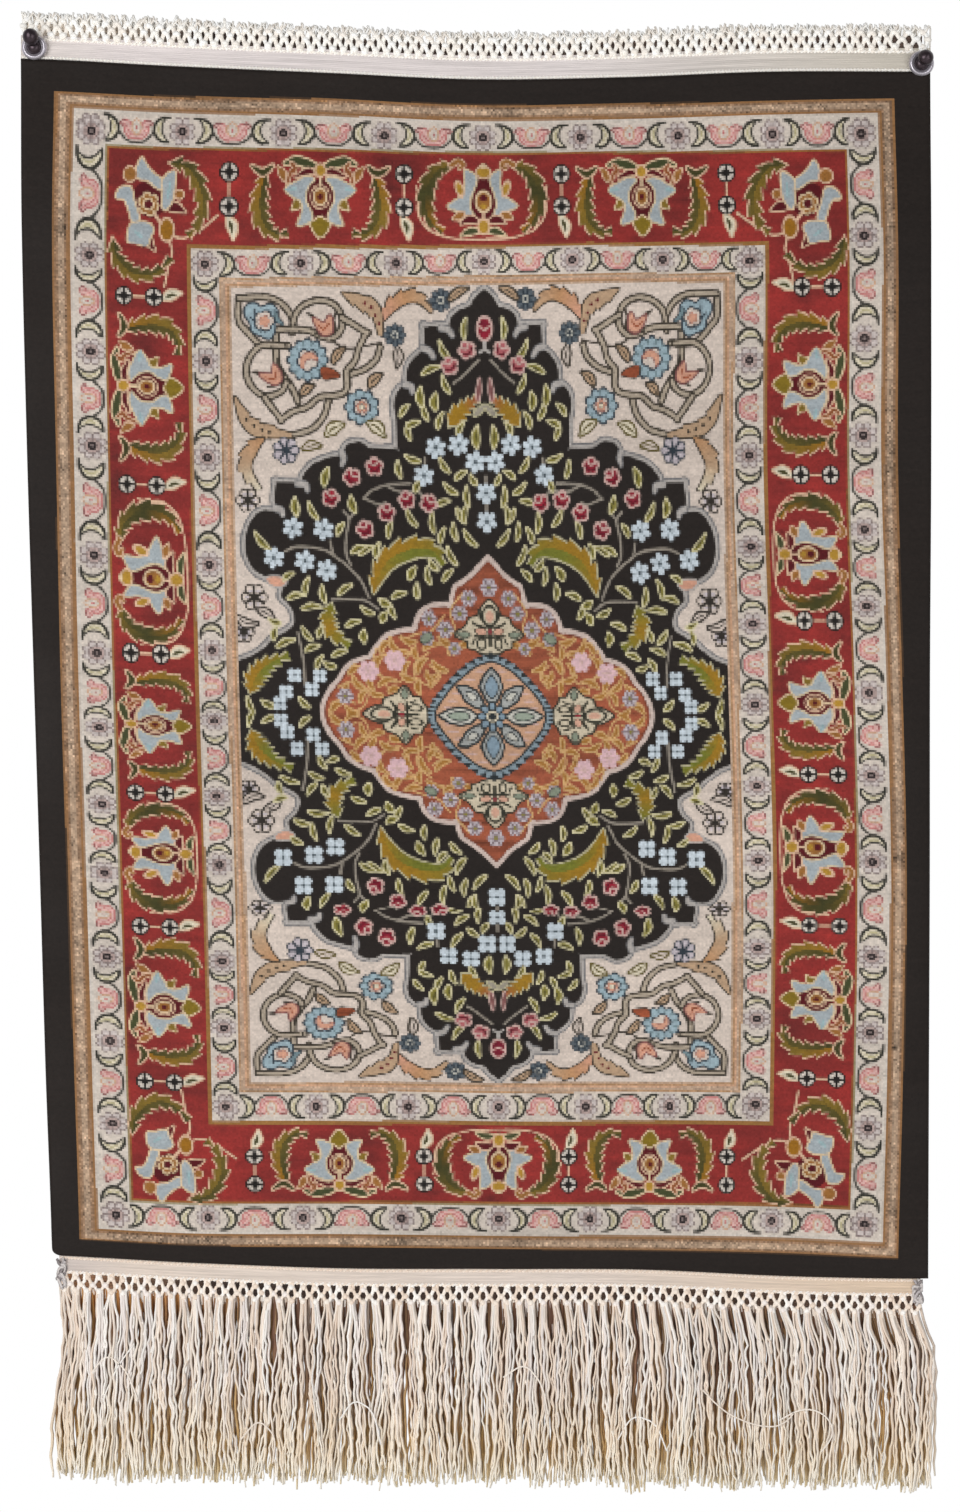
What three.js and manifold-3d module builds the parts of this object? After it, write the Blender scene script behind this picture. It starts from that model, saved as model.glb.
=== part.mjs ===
// A small silk carpet of the Hereke kind, hung face on by two dome-headed pins in its top corners.
// Units are millimetres. X is to the right, Y runs into the wall, Z is up.
// The origin lies on the wall, midway between the two pins.
import * as THREE from "three";
import { mergeVertices } from "three/addons/utils/BufferGeometryUtils.js";
import Module from "manifold-3d";

const wasm = await Module();
wasm.setup();

// The carpet as woven: the piled part with its plain dark edge band, and a flat-woven end at top and bottom.
const PILE_WIDTH = 450;
const PILE_LENGTH = 600;
const EDGE_BAND = 16;
const PILE_THICKNESS = 3;
const FLAT_WEAVE_THICKNESS = 1.2;
const TOP_END = 12;
const BOTTOM_END = 8.5;
const BOTTOM_END_INSET = 4;
const PILE_SLOPE = 0.8;

// The fringes: warp bundles knotted into a narrow net, from which the loose locks hang.
const BUNDLES = 76;
const PITCH = PILE_WIDTH / BUNDLES;
const GAP = 0.3;
const NET_THICKNESS = 1.6;
const KNOT_RISE = 0.9;
const BOTTOM_NET = 9;
const TOP_NET = 7;
const ROOT_DEPTH = 1;
const LOCK_SIDES = 3;
const LOCK_RADIUS = 1.35;
const LOCK_TIP_SHARE = 0.7;
const LOCK_STEPS = 4;
const LOCK_ROW_DEPTH = 1.5;
const LOCK_SPREADS_OVER = 0.45;
const LOCK_SWAY = { width: 0.45, turns: 0.8 };
const FRINGE_FLARE = 9;
const TIP_LINE = { left: -718, right: -723, uneven: 2.5 };
const TOP_LOCK = {
  radius: 0.8,
  offWall: 0.35,
  rise: 6,
  riseUneven: 0.7,
  drop: 78,
  dropUneven: 3,
  drift: 0.6,
};

// The pins.
const PIN = {
  headRadius: 6.4,
  headHeight: 3.8,
  shankRadius: 0.8,
  intoWall: 8,
  tip: 2,
  sides: 14,
  domeSteps: 5,
};
const PIN_PLACES = {
  pin_left: { a: 5.2, abovePile: 6.8 },
  pin_right: { a: PILE_WIDTH - 3.1, abovePile: 5.3 },
};

// How the carpet hangs: its outline on the wall, in millimetres from the origin.
// Across: heights of the two ends of the pile and of the edge band's inner lines, at even steps from left.
const ACROSS = {
  topOuter: [-3.0, -6.8, -10.1, -13.4, -12.4, -9.6, -9.6],
  topInner: [-17.2, -20.7, -23.2, -26.8, -25.8, -23.5, -22.2],
  bottomInner: [-596.5, -600.3, -600.6, -601.6, -601.8, -603.3, -606.6],
  bottomOuter: [-606.1, -610.2, -612.9, -613.4, -613.2, -616.7, -618.2],
};
// Down: places of the two sides and of the edge band's inner lines, at even steps from the top.
const DOWN = {
  leftOuter: [-230.3, -228.8, -226.3, -223.3, -220.2, -217.2, -213.7],
  leftInner: [-212.1, -212.6, -210.6, -208.6, -205.6, -202.5, -199.5],
  rightInner: [207.6, 209.6, 209.4, 212.9, 215.4, 214.2, 211.6],
  rightOuter: [228.8, 228.8, 228.8, 228.3, 228.3, 227.8, 227.3],
};

// How far the back stands off the wall: an even gap at the top, for the fringe behind, and soft folds below.
const TOP_STAND_OFF = 3;
const FOLD_START = 90;
const FOLDS = [
  { depth: 1.7, waves: 0, phase: 1.57, lean: 0 },
  { depth: 1.3, waves: 1.5, phase: 0.6, lean: 0.4 },
  { depth: 0.8, waves: 3.2, phase: 2.2, lean: -1.1 },
];
const SIDE_CURL = { left: 1.4, right: 2.6, strongest: 0.7, reach: 0.3 };

const COLUMNS = 20;
const PILE_ROWS = 22;

// A smooth curve through evenly spaced values, read at a share from 0 to 1.
function along(values, share) {
  const place = THREE.MathUtils.clamp(share, 0, 1) * (values.length - 1);
  const i = Math.min(Math.floor(place), values.length - 2);
  const before = values[Math.max(i - 1, 0)];
  const after = values[Math.min(i + 2, values.length - 1)];
  const t = place - i;
  const start = (values[i + 1] - before) / 2;
  const end = (after - values[i]) / 2;
  return (
    (2 * values[i] - 2 * values[i + 1] + start + end) * t ** 3 +
    (-3 * values[i] + 3 * values[i + 1] - 2 * start - end) * t ** 2 +
    start * t +
    values[i]
  );
}

// Straight lines between four values at the outer and inner edges of the band.
function acrossBand(place, length, outerLow, innerLow, innerHigh, outerHigh) {
  if (place < EDGE_BAND) return THREE.MathUtils.lerp(outerLow, innerLow, place / EDGE_BAND);
  if (place > length - EDGE_BAND) {
    return THREE.MathUtils.lerp(innerHigh, outerHigh, (place - length + EDGE_BAND) / EDGE_BAND);
  }
  return THREE.MathUtils.lerp(innerLow, innerHigh, (place - EDGE_BAND) / (length - 2 * EDGE_BAND));
}

// The stand-off of the cloth's back from the wall at a place on the flat carpet.
function standOff(a, b) {
  const start = THREE.MathUtils.smoothstep(PILE_LENGTH - b, 0, FOLD_START);
  const down = (PILE_LENGTH - b) / PILE_LENGTH;
  let depth = 0;
  for (const fold of FOLDS) {
    const turn = (2 * Math.PI * fold.waves * a) / PILE_WIDTH;
    depth += fold.depth * (1 + Math.sin(turn + fold.phase + fold.lean * down));
  }
  const curlHere = Math.exp(-(((down - SIDE_CURL.strongest) / SIDE_CURL.reach) ** 2));
  const pastLeft = Math.max(0, 1 - a / EDGE_BAND);
  const pastRight = Math.max(0, 1 - (PILE_WIDTH - a) / EDGE_BAND);
  const curl = curlHere * (SIDE_CURL.left * pastLeft ** 2 + SIDE_CURL.right * pastRight ** 2);
  return TOP_STAND_OFF + start * depth - curl;
}

// The place on the hung carpet of a point a across and b up from the pile's bottom left corner,
// rise millimetres in front of the cloth's back.
function hung(a, b, rise) {
  const down = (PILE_LENGTH - b) / PILE_LENGTH;
  const over = a / PILE_WIDTH;
  const inside = THREE.MathUtils.clamp(b, 0, PILE_LENGTH);
  const x = acrossBand(
    a,
    PILE_WIDTH,
    along(DOWN.leftOuter, down),
    along(DOWN.leftInner, down),
    along(DOWN.rightInner, down),
    along(DOWN.rightOuter, down),
  );
  const z = acrossBand(
    inside,
    PILE_LENGTH,
    along(ACROSS.bottomOuter, over),
    along(ACROSS.bottomInner, over),
    along(ACROSS.topInner, over),
    along(ACROSS.topOuter, over),
  );
  return new THREE.Vector3(x, -standOff(a, b) - rise, z + b - inside);
}

function weld(geometry) {
  const bare = geometry.clone();
  bare.deleteAttribute("normal");
  bare.deleteAttribute("uv");
  return mergeVertices(bare, 1e-4);
}

function solid(geometry) {
  const welded = weld(geometry);
  return new wasm.Manifold(
    new wasm.Mesh({
      numProp: 3,
      vertProperties: new Float32Array(welded.attributes.position.array),
      triVerts: new Uint32Array(welded.index.array),
    }),
  );
}

function geometryOf(manifold) {
  const mesh = manifold.getMesh();
  const positions = new Float32Array(mesh.numVert * 3);
  for (let i = 0; i < mesh.numVert; i++) {
    for (let k = 0; k < 3; k++) positions[3 * i + k] = mesh.vertProperties[mesh.numProp * i + k];
  }
  const geometry = new THREE.BufferGeometry();
  geometry.setAttribute("position", new THREE.BufferAttribute(positions, 3));
  geometry.setIndex(new THREE.BufferAttribute(new Uint32Array(mesh.triVerts), 1));
  geometry.computeVertexNormals();
  return geometry;
}

// A closed sheet, columns by rows cells. place(column, row, front) gives each corner's place.
function sheet(columns, rows, place) {
  const geometry = new THREE.BoxGeometry(1, 1, 1, columns, 1, rows);
  const position = geometry.attributes.position;
  for (let i = 0; i < position.count; i++) {
    const column = Math.round((position.getX(i) + 0.5) * columns);
    const row = Math.round((position.getZ(i) + 0.5) * rows);
    const front = position.getY(i) < 0;
    position.setXYZ(i, ...place(column, row, front).toArray());
  }
  return geometry;
}

// The carpet: pile and both flat-woven ends in one cloth, with a step where the pile begins.
function carpetRows() {
  const half = PILE_SLOPE / 2;
  const rows = [
    { b: -BOTTOM_END, pile: false },
    { b: -half, pile: false },
  ];
  for (let i = 0; i <= PILE_ROWS; i++) {
    rows.push({ b: half + (i * (PILE_LENGTH - PILE_SLOPE)) / PILE_ROWS, pile: true });
  }
  rows.push({ b: PILE_LENGTH + half, pile: false });
  rows.push({ b: PILE_LENGTH + TOP_END, pile: false });
  return rows;
}

function carpetSolid(pinPlaces) {
  const rows = carpetRows();
  const geometry = sheet(COLUMNS, rows.length - 1, (column, row, front) => {
    const { b, pile } = rows[row];
    const inset = b < 0 ? BOTTOM_END_INSET : 0;
    const a = inset + (column * (PILE_WIDTH - 2 * inset)) / COLUMNS;
    const thickness = pile ? PILE_THICKNESS : FLAT_WEAVE_THICKNESS;
    return hung(a, b, front ? thickness : 0);
  });
  let cloth = solid(geometry);
  const holeRadius = PIN.shankRadius + GAP;
  for (const place of pinPlaces) {
    const hole = new THREE.CylinderGeometry(holeRadius, holeRadius, 2 * PILE_THICKNESS, PIN.sides);
    hole.translate(place.x, place.y, place.z);
    cloth = cloth.subtract(solid(hole));
  }
  return cloth;
}

// The net of a fringe: a narrow strip whose front is raised at a row of knots.
// edge is where it meets the cloth, and height is signed, up or down.
function netSolid(inset, edge, height) {
  const rows = 2;
  const geometry = sheet(2 * BUNDLES, rows, (column, row, front) => {
    const share = height > 0 ? row / rows : 1 - row / rows;
    const a = inset + (column * (PILE_WIDTH - 2 * inset)) / (2 * BUNDLES);
    const knot = row === 1 && column % 2 === 1;
    return hung(a, edge + share * height, front ? NET_THICKNESS + (knot ? KNOT_RISE : 0) : 0);
  });
  return solid(geometry);
}

// An even, repeatable unevenness for lock number i.
function wobble(i, seed) {
  return Math.sin(i * 2.399 + seed) * 0.6 + Math.sin(i * 0.731 + 2 * seed) * 0.4;
}

// A thin three-sided tube through a list of stations. Each station has a centre and a tilt,
// the turn of the tube's direction from straight up towards the wall.
function lock(stations, startRadius, endRadius) {
  const steps = stations.length - 1;
  const geometry = new THREE.CylinderGeometry(startRadius, endRadius, 1, LOCK_SIDES, steps);
  const position = geometry.attributes.position;
  for (let k = 0; k < position.count; k++) {
    const { centre, tilt } = stations[Math.round((0.5 - position.getY(k)) * steps)];
    const sideways = position.getX(k);
    const inwards = position.getZ(k);
    const y = centre.y + inwards * Math.cos(tilt);
    const z = centre.z - inwards * Math.sin(tilt);
    position.setXYZ(k, centre.x + sideways, y, z);
  }
  return solid(geometry);
}

// One loose lock of the bottom fringe, from the net down to its tip.
function bottomLock(i, count) {
  const share = (i + 0.5) / count;
  const a = BOTTOM_END_INSET + share * (PILE_WIDTH - 2 * BOTTOM_END_INSET);
  const root = hung(a, ROOT_DEPTH - BOTTOM_END - GAP - BOTTOM_NET, NET_THICKNESS / 2);
  const tip = THREE.MathUtils.lerp(TIP_LINE.left, TIP_LINE.right, share) + TIP_LINE.uneven * wobble(i, 1);
  const flare = FRINGE_FLARE * (2 * share - 1) ** 3;
  const rowDepth = LOCK_ROW_DEPTH * (i % 2 ? 1 : -1);
  const stations = [];
  for (let k = 0; k <= LOCK_STEPS; k++) {
    const fall = k / LOCK_STEPS;
    const spread = THREE.MathUtils.smoothstep(fall, 0, LOCK_SPREADS_OVER);
    const sway = LOCK_SWAY.width * Math.sin(2 * Math.PI * LOCK_SWAY.turns * fall + wobble(i, 3)) * fall;
    const x = root.x + sway + flare * spread;
    const z = THREE.MathUtils.lerp(root.z, tip, fall);
    stations.push({ centre: new THREE.Vector3(x, root.y + rowDepth * spread, z), tilt: Math.PI });
  }
  return lock(stations, LOCK_RADIUS, LOCK_TIP_SHARE * LOCK_RADIUS);
}

// How far a lock behind the carpet is pushed aside by a pin's shank.
function pushedAside(x) {
  const clear = TOP_LOCK.radius + PIN.shankRadius + TOP_LOCK.drift + GAP;
  for (const name of Object.keys(PIN_PLACES)) {
    const past = x - pinPlace(name).x;
    if (Math.abs(past) < clear) return Math.sign(past) * clear - past;
  }
  return 0;
}

// One lock of the top fringe: it stands up from the net, turns over backwards and hangs behind the carpet.
function topLock(i) {
  const a = (i + 0.5) * PITCH + TOP_LOCK.drift * wobble(i, 11);
  const root = hung(a, PILE_LENGTH + TOP_END + GAP + TOP_NET - ROOT_DEPTH, NET_THICKNESS / 2);
  const behind = -TOP_LOCK.radius - TOP_LOCK.offWall;
  const rise = TOP_LOCK.rise + TOP_LOCK.riseUneven * wobble(i, 5);
  const drop = TOP_LOCK.drop + TOP_LOCK.dropUneven * wobble(i, 7);
  const lean = TOP_LOCK.drift * wobble(i, 9);
  const aside = pushedAside(root.x);
  const at = (x, y, z, tilt) => ({ centre: new THREE.Vector3(root.x + x, y, root.z + z), tilt });
  const stations = [
    at(0, root.y, 0, 0),
    at(0, root.y, 0.6 * rise, 0),
    at(aside / 2, (root.y + behind) / 2, rise, Math.PI / 2),
    at(aside, behind, 0.5 * rise, Math.PI),
    at(aside + lean / 2, behind, -0.4 * drop, Math.PI),
    at(aside + lean, behind, -drop, Math.PI),
  ];
  return lock(stations, TOP_LOCK.radius, TOP_LOCK.radius);
}

function bottomFringe() {
  const count = 2 * BUNDLES;
  const pieces = [netSolid(BOTTOM_END_INSET, -BOTTOM_END - GAP, -BOTTOM_NET)];
  for (let i = 0; i < count; i++) pieces.push(bottomLock(i, count));
  return wasm.Manifold.union(pieces);
}

function topFringe() {
  const pieces = [netSolid(0, PILE_LENGTH + TOP_END + GAP, TOP_NET)];
  for (let i = 0; i < BUNDLES; i++) pieces.push(topLock(i));
  return wasm.Manifold.union(pieces);
}

// Where a pin passes the cloth's back.
function pinPlace(name) {
  const { a, abovePile } = PIN_PLACES[name];
  return hung(a, PILE_LENGTH + abovePile, 0);
}

// A dome-headed steel pin: its profile turned about the shank. The head clears the pile and faces the room.
function pinGeometry(place) {
  const underHead = place.y - PILE_THICKNESS - GAP;
  const profile = [];
  for (let k = 0; k <= PIN.domeSteps; k++) {
    const turn = (k / PIN.domeSteps) * (Math.PI / 2);
    const radius = k ? PIN.headRadius * Math.sin(turn) : 0;
    profile.push(new THREE.Vector2(radius, underHead - PIN.headHeight * Math.cos(turn)));
  }
  profile.push(new THREE.Vector2(PIN.shankRadius, underHead));
  profile.push(new THREE.Vector2(PIN.shankRadius, PIN.intoWall - PIN.tip));
  profile.push(new THREE.Vector2(PIN.shankRadius / 2, PIN.intoWall));
  profile.push(new THREE.Vector2(0, PIN.intoWall));
  const geometry = new THREE.LatheGeometry(profile, PIN.sides);
  geometry.translate(place.x, 0, place.z);
  return geometry;
}

function material(colour, roughness, metalness) {
  return new THREE.MeshStandardMaterial({ color: colour, roughness, metalness });
}

const carpetSilk = material(0x6e2a24, 0.75, 0);
const fringeYarn = material(0xd9cdbb, 0.85, 0);
const pinSteel = material(0x8d8a90, 0.25, 1);

function named(name, geometry, finish) {
  const mesh = new THREE.Mesh(geometry, finish);
  mesh.name = name;
  return mesh;
}

const pinNames = Object.keys(PIN_PLACES);
const hangingCarpet = new THREE.Group();
hangingCarpet.add(named("carpet", geometryOf(carpetSolid(pinNames.map(pinPlace))), carpetSilk));
hangingCarpet.add(named("fringe_top", geometryOf(topFringe()), fringeYarn));
hangingCarpet.add(named("fringe_bottom", geometryOf(bottomFringe()), fringeYarn));
for (const name of pinNames) hangingCarpet.add(named(name, weld(pinGeometry(pinPlace(name))), pinSteel));

export default hangingCarpet;
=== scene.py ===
# The looks of a small silk pile carpet that hangs by two pins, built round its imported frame.
# Sizes are in millimetres, as in the part's source, and become metres where a mesh is made.
import math
from functools import partial

import bmesh
import bpy
import numpy as np
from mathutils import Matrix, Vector


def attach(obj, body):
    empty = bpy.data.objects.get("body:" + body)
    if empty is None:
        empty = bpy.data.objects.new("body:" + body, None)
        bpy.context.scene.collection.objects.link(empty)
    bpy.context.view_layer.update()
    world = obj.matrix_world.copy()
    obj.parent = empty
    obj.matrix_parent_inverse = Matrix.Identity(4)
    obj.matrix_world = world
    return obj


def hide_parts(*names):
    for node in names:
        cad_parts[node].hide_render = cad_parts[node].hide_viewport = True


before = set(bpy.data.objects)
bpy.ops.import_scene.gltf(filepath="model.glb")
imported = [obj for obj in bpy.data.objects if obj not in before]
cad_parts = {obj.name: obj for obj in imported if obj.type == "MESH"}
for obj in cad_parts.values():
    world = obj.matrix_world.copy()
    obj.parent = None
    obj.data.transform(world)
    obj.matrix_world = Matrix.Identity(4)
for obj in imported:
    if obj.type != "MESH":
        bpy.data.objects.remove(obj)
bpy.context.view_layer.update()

MM = 0.001
SEED = 7

# The carpet as woven, the same sizes as in the part's source.
PILE_WIDTH = 450
PILE_LENGTH = 600
EDGE_BAND = 16
PILE_THICKNESS = 3.0
FLAT_WEAVE_THICKNESS = 1.2
TOP_END = 12
BOTTOM_END = 8.5
BOTTOM_END_INSET = 4
TOP_NET = 7
GAP = 0.3
FRINGE_LEAN = [2.5, 0.5, -0.5, 0, 0.5, 1.5, 3, 4.5, 6]
FRINGE_FLARE = [-4, -1.5, 0, 0, 0, 0, 0, 0.5, 0.5]
TIP_LINE = {"left": -718, "right": -723}
TOP_LOCK = {"off_wall": 1.15, "rise": 6, "drop": 78}
PIN = {"head_radius": 6.4, "head_height": 3.8, "shank_radius": 0.8, "into_wall": 8}
PIN_PLACES = {
    "pin_left": {"a": 5.2, "above_pile": 6.8},
    "pin_right": {"a": PILE_WIDTH - 3.1, "above_pile": 5.3},
}

# How it hangs: heights across at even steps from the left, and places down at even steps from the top.
ACROSS = {
    "top_outer": [-3.0, -6.8, -10.1, -13.4, -12.4, -9.6, -9.6],
    "top_inner": [-17.2, -20.7, -23.2, -26.8, -25.8, -23.5, -22.2],
    "bottom_inner": [-596.5, -600.3, -600.6, -601.6, -601.8, -603.3, -606.6],
    "bottom_outer": [-606.1, -610.2, -612.9, -613.4, -613.2, -616.7, -618.2],
}
DOWN = {
    "left_outer": [-230.3, -228.8, -226.3, -223.3, -220.2, -217.2, -213.7],
    "left_inner": [-212.1, -212.6, -210.6, -208.6, -205.6, -202.5, -199.5],
    "right_inner": [207.6, 209.6, 209.4, 212.9, 215.4, 214.2, 211.6],
    "right_outer": [228.8, 228.8, 228.8, 228.3, 228.3, 227.8, 227.3],
}
TOP_STAND_OFF = 3
FOLD_START = 90
FOLDS = [
    {"depth": 1.7, "waves": 0, "phase": 1.57, "lean": 0},
    {"depth": 1.3, "waves": 1.5, "phase": 0.6, "lean": 0.4},
    {"depth": 0.8, "waves": 3.2, "phase": 2.2, "lean": -1.1},
]
SIDE_CURL = {"left": 1.4, "right": 2.6, "strongest": 0.7, "reach": 0.3}


def spline(before, start, end, after, t):
    """A smooth curve from start to end that comes from before and goes on to after."""
    slope_in = (end - before) / 2
    slope_out = (after - start) / 2
    cubic = 2 * start - 2 * end + slope_in + slope_out
    square = -3 * start + 3 * end - 2 * slope_in - slope_out
    return ((cubic * t + square) * t + slope_in) * t + start


def along(values, share):
    """A smooth curve through evenly spaced values, read at shares from 0 to 1."""
    values = np.array(values, float)
    last = len(values) - 1
    place = np.clip(share, 0, 1) * last
    i = np.minimum(np.floor(place).astype(int), last - 1)
    return spline(values[np.maximum(i - 1, 0)], values[i], values[i + 1], values[np.minimum(i + 2, last)],
                  place - i)


def across_band(place, length, outer_low, inner_low, inner_high, outer_high):
    """Straight lines between four values at the outer and inner edges of the band."""
    low = outer_low + (inner_low - outer_low) * place / EDGE_BAND
    middle = inner_low + (inner_high - inner_low) * (place - EDGE_BAND) / (length - 2 * EDGE_BAND)
    high = inner_high + (outer_high - inner_high) * (place - length + EDGE_BAND) / EDGE_BAND
    return np.where(place < EDGE_BAND, low, np.where(place > length - EDGE_BAND, high, middle))


def smoothstep(x, low, high):
    t = np.clip((x - low) / (high - low), 0, 1)
    return t * t * (3 - 2 * t)


def stand_off(a, b):
    """How far the cloth's back is from the wall."""
    down = (PILE_LENGTH - b) / PILE_LENGTH
    depth = 0
    for fold in FOLDS:
        turn = 2 * math.pi * fold["waves"] * a / PILE_WIDTH
        depth = depth + fold["depth"] * (1 + np.sin(turn + fold["phase"] + fold["lean"] * down))
    curl_here = np.exp(-(((down - SIDE_CURL["strongest"]) / SIDE_CURL["reach"]) ** 2))
    past_left = np.maximum(0, 1 - a / EDGE_BAND)
    past_right = np.maximum(0, 1 - (PILE_WIDTH - a) / EDGE_BAND)
    curl = curl_here * (SIDE_CURL["left"] * past_left**2 + SIDE_CURL["right"] * past_right**2)
    return TOP_STAND_OFF + smoothstep(PILE_LENGTH - b, 0, FOLD_START) * depth - curl


def hung(a, b, rise):
    """Where a point of the flat carpet hangs, in metres: a across, b up, rise in front of the back."""
    a, b, rise = np.broadcast_arrays(*(np.asarray(value, float) for value in (a, b, rise)))
    down = (PILE_LENGTH - b) / PILE_LENGTH
    over = a / PILE_WIDTH
    inside = np.clip(b, 0, PILE_LENGTH)
    x = across_band(a, PILE_WIDTH, *(along(values, down) for values in DOWN.values()))
    order = ("bottom_outer", "bottom_inner", "top_inner", "top_outer")
    z = across_band(inside, PILE_LENGTH, *(along(ACROSS[name], over) for name in order))
    return np.stack([x, -stand_off(a, b) - rise, z + b - inside], axis=-1) * MM


# The camera stands square to the wall, where the photograph was taken from.
CAMERA = {"x": 1.5, "z": -355, "distance": 2000, "frame_height": 765}


def add_camera():
    data = bpy.data.cameras.new("camera")
    data.sensor_width = 36
    data.lens = 36 * CAMERA["distance"] / CAMERA["frame_height"]
    camera = bpy.data.objects.new("camera", data)
    camera.location = (CAMERA["x"] * MM, -CAMERA["distance"] * MM, CAMERA["z"] * MM)
    camera.rotation_euler = (math.radians(90), 0, 0)
    bpy.context.scene.collection.objects.link(camera)
    bpy.context.scene.camera = camera


# Drawing the pattern: shapes with a signed distance in millimetres, negative inside
KNOTS_ACROSS = 450
KNOTS_DOWN = 600


def srgb(text):
    """A colour written as six hex digits, as linear red, green and blue."""
    value = np.array([int(text[i : i + 2], 16) for i in (0, 2, 4)]) / 255
    return np.where(value <= 0.04045, value / 12.92, ((value + 0.055) / 1.055) ** 2.4)


def between(colours, steps, places):
    """The colours at places, between those given at steps."""
    return np.stack([np.interp(places, steps, channel) for channel in np.transpose(colours)], axis=-1)


def smooth_line(points, closed=False, steps=5):
    """A curve through the points, with a few straight steps from each to the next."""
    points = np.array(points, float)
    if closed:
        ring = np.concatenate([points[-1:], points, points[:2]])
    else:
        ring = np.concatenate([2 * points[:1] - points[1:2], points, 2 * points[-1:] - points[-2:-1]])
    t = (np.arange(steps) / steps)[:, None, None]
    curve = spline(ring[:-3], ring[1:-2], ring[2:-1], ring[3:], t).transpose(1, 0, 2).reshape(-1, 2)
    return np.concatenate([curve, curve[:1] if closed else points[-1:]])


def from_step(x, y, start, end):
    """How far along a straight step each place is, how far it is off it, and on which side it lies."""
    dx, dy = end - start
    t = np.clip(((x - start[0]) * dx + (y - start[1]) * dy) / (dx * dx + dy * dy + 1e-9), 0, 1)
    off_x = x - start[0] - t * dx
    off_y = y - start[1] - t * dy
    return t, np.hypot(off_x, off_y), np.where(dx * off_y - dy * off_x > 0, 1, -1)


def both_sides(points):
    """A closed outline from its half on one side, from the first point to the last."""
    return [*points, *((-x, y) for x, y in points[-2:0:-1])]


class Shape:
    def set_box(self, points, spare=0):
        points = np.asarray(points, float)
        self.box = (*(points.min(axis=0) - spare), *(points.max(axis=0) + spare))


class Stroke(Shape):
    """A stroke along a curve. widths are spread evenly along it; teeth point forwards on the given sides."""

    def __init__(self, points, widths, teeth=0, bite=0.0, sides=(-1, 1), steps=5):
        self.path = smooth_line(points, steps=steps)
        self.widths = np.atleast_1d(widths)
        self.teeth = teeth
        self.bite = bite
        self.sides = sides
        self.set_box(self.path, self.widths.max() / 2 + bite)

    def gap(self, x, y):
        best = np.full(x.shape, 1e9)
        share = np.zeros(x.shape)
        side = np.ones(x.shape)
        pieces = len(self.path) - 1
        for k in range(pieces):
            t, away, beside = from_step(x, y, *self.path[k : k + 2])
            near = away < best
            best = np.where(near, away, best)
            share = np.where(near, (k + t) / pieces, share)
            side = np.where(near, beside, side)
        self.share = share
        self.side = side
        half = np.interp(share, np.linspace(0, 1, len(self.widths)), self.widths) / 2
        if self.teeth:
            tooth = (share * self.teeth) % 1
            half = half + np.where(np.isin(side, self.sides), self.bite * (tooth - 0.35), 0)
        return best - half


def leaf(start, end, width, bend=0.0):
    """A pointed leaf from one point to another, bent to its left by a share of its length."""
    start = np.array(start, float)
    end = np.array(end, float)
    middle = (start + end) / 2 + bend * np.array([start[1] - end[1], end[0] - start[0]])
    return Stroke([start, middle, end], np.array([0.3, 0.75, 1, 1, 0.8, 0.45, 0.1]) * width)


class Blob(Shape):
    """A closed smooth outline through its points, or a straight one."""

    def __init__(self, points, smooth=True):
        self.path = smooth_line(points, closed=True, steps=4 if smooth else 1)
        self.set_box(self.path)

    def gap(self, x, y):
        best = np.full(x.shape, 1e9)
        inside = np.zeros(x.shape, bool)
        for start, end in zip(self.path, self.path[1:]):
            best = np.minimum(best, from_step(x, y, start, end)[1])
            (x0, y0), (dx, dy) = start, end - start
            if dy != 0:
                inside ^= ((y0 > y) != (end[1] > y)) & (x < x0 + dx * (y - y0) / dy)
        return np.where(inside, -best, best)


class Flower(Shape):
    """A round flower whose petals are parted by notches."""

    def __init__(self, radius, petals, parting=0.2, turn=0.0, middle=(0, 0)):
        self.radius, self.petals, self.parting, self.turn, self.middle = radius, petals, parting, turn, middle
        self.set_box([middle], radius)

    def polar(self, x, y):
        """How far out a place is, and how far round, with half a turn for each petal."""
        x = x - self.middle[0]
        y = y - self.middle[1]
        return np.hypot(x, y), (np.arctan2(y, x) + self.turn) * self.petals / 2

    def gap(self, x, y):
        out, angle = self.polar(x, y)
        return out - self.radius * (1 - self.parting * (1 - np.abs(np.cos(angle))) ** 1.5)


class Spokes(Flower):
    """Thin rays between the petals of a flower, as wide as parting says."""

    def gap(self, x, y):
        out, angle = self.polar(x, y)
        aside = out * np.abs(np.cos(angle)) * 2 / self.petals
        return np.maximum(aside - self.parting / 2, out - self.radius)


class Oval(Shape):
    def __init__(self, wide, tall, middle=(0, 0), turn=0.0):
        self.wide, self.tall, self.middle = wide, tall, middle
        self.turn = math.radians(turn)
        self.set_box([middle], max(wide, tall))

    def gap(self, x, y):
        x = x - self.middle[0]
        y = y - self.middle[1]
        along = x * math.cos(self.turn) + y * math.sin(self.turn)
        aside = y * math.cos(self.turn) - x * math.sin(self.turn)
        return (np.hypot(along / self.wide, aside / self.tall) - 1) * min(self.wide, self.tall)


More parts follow.
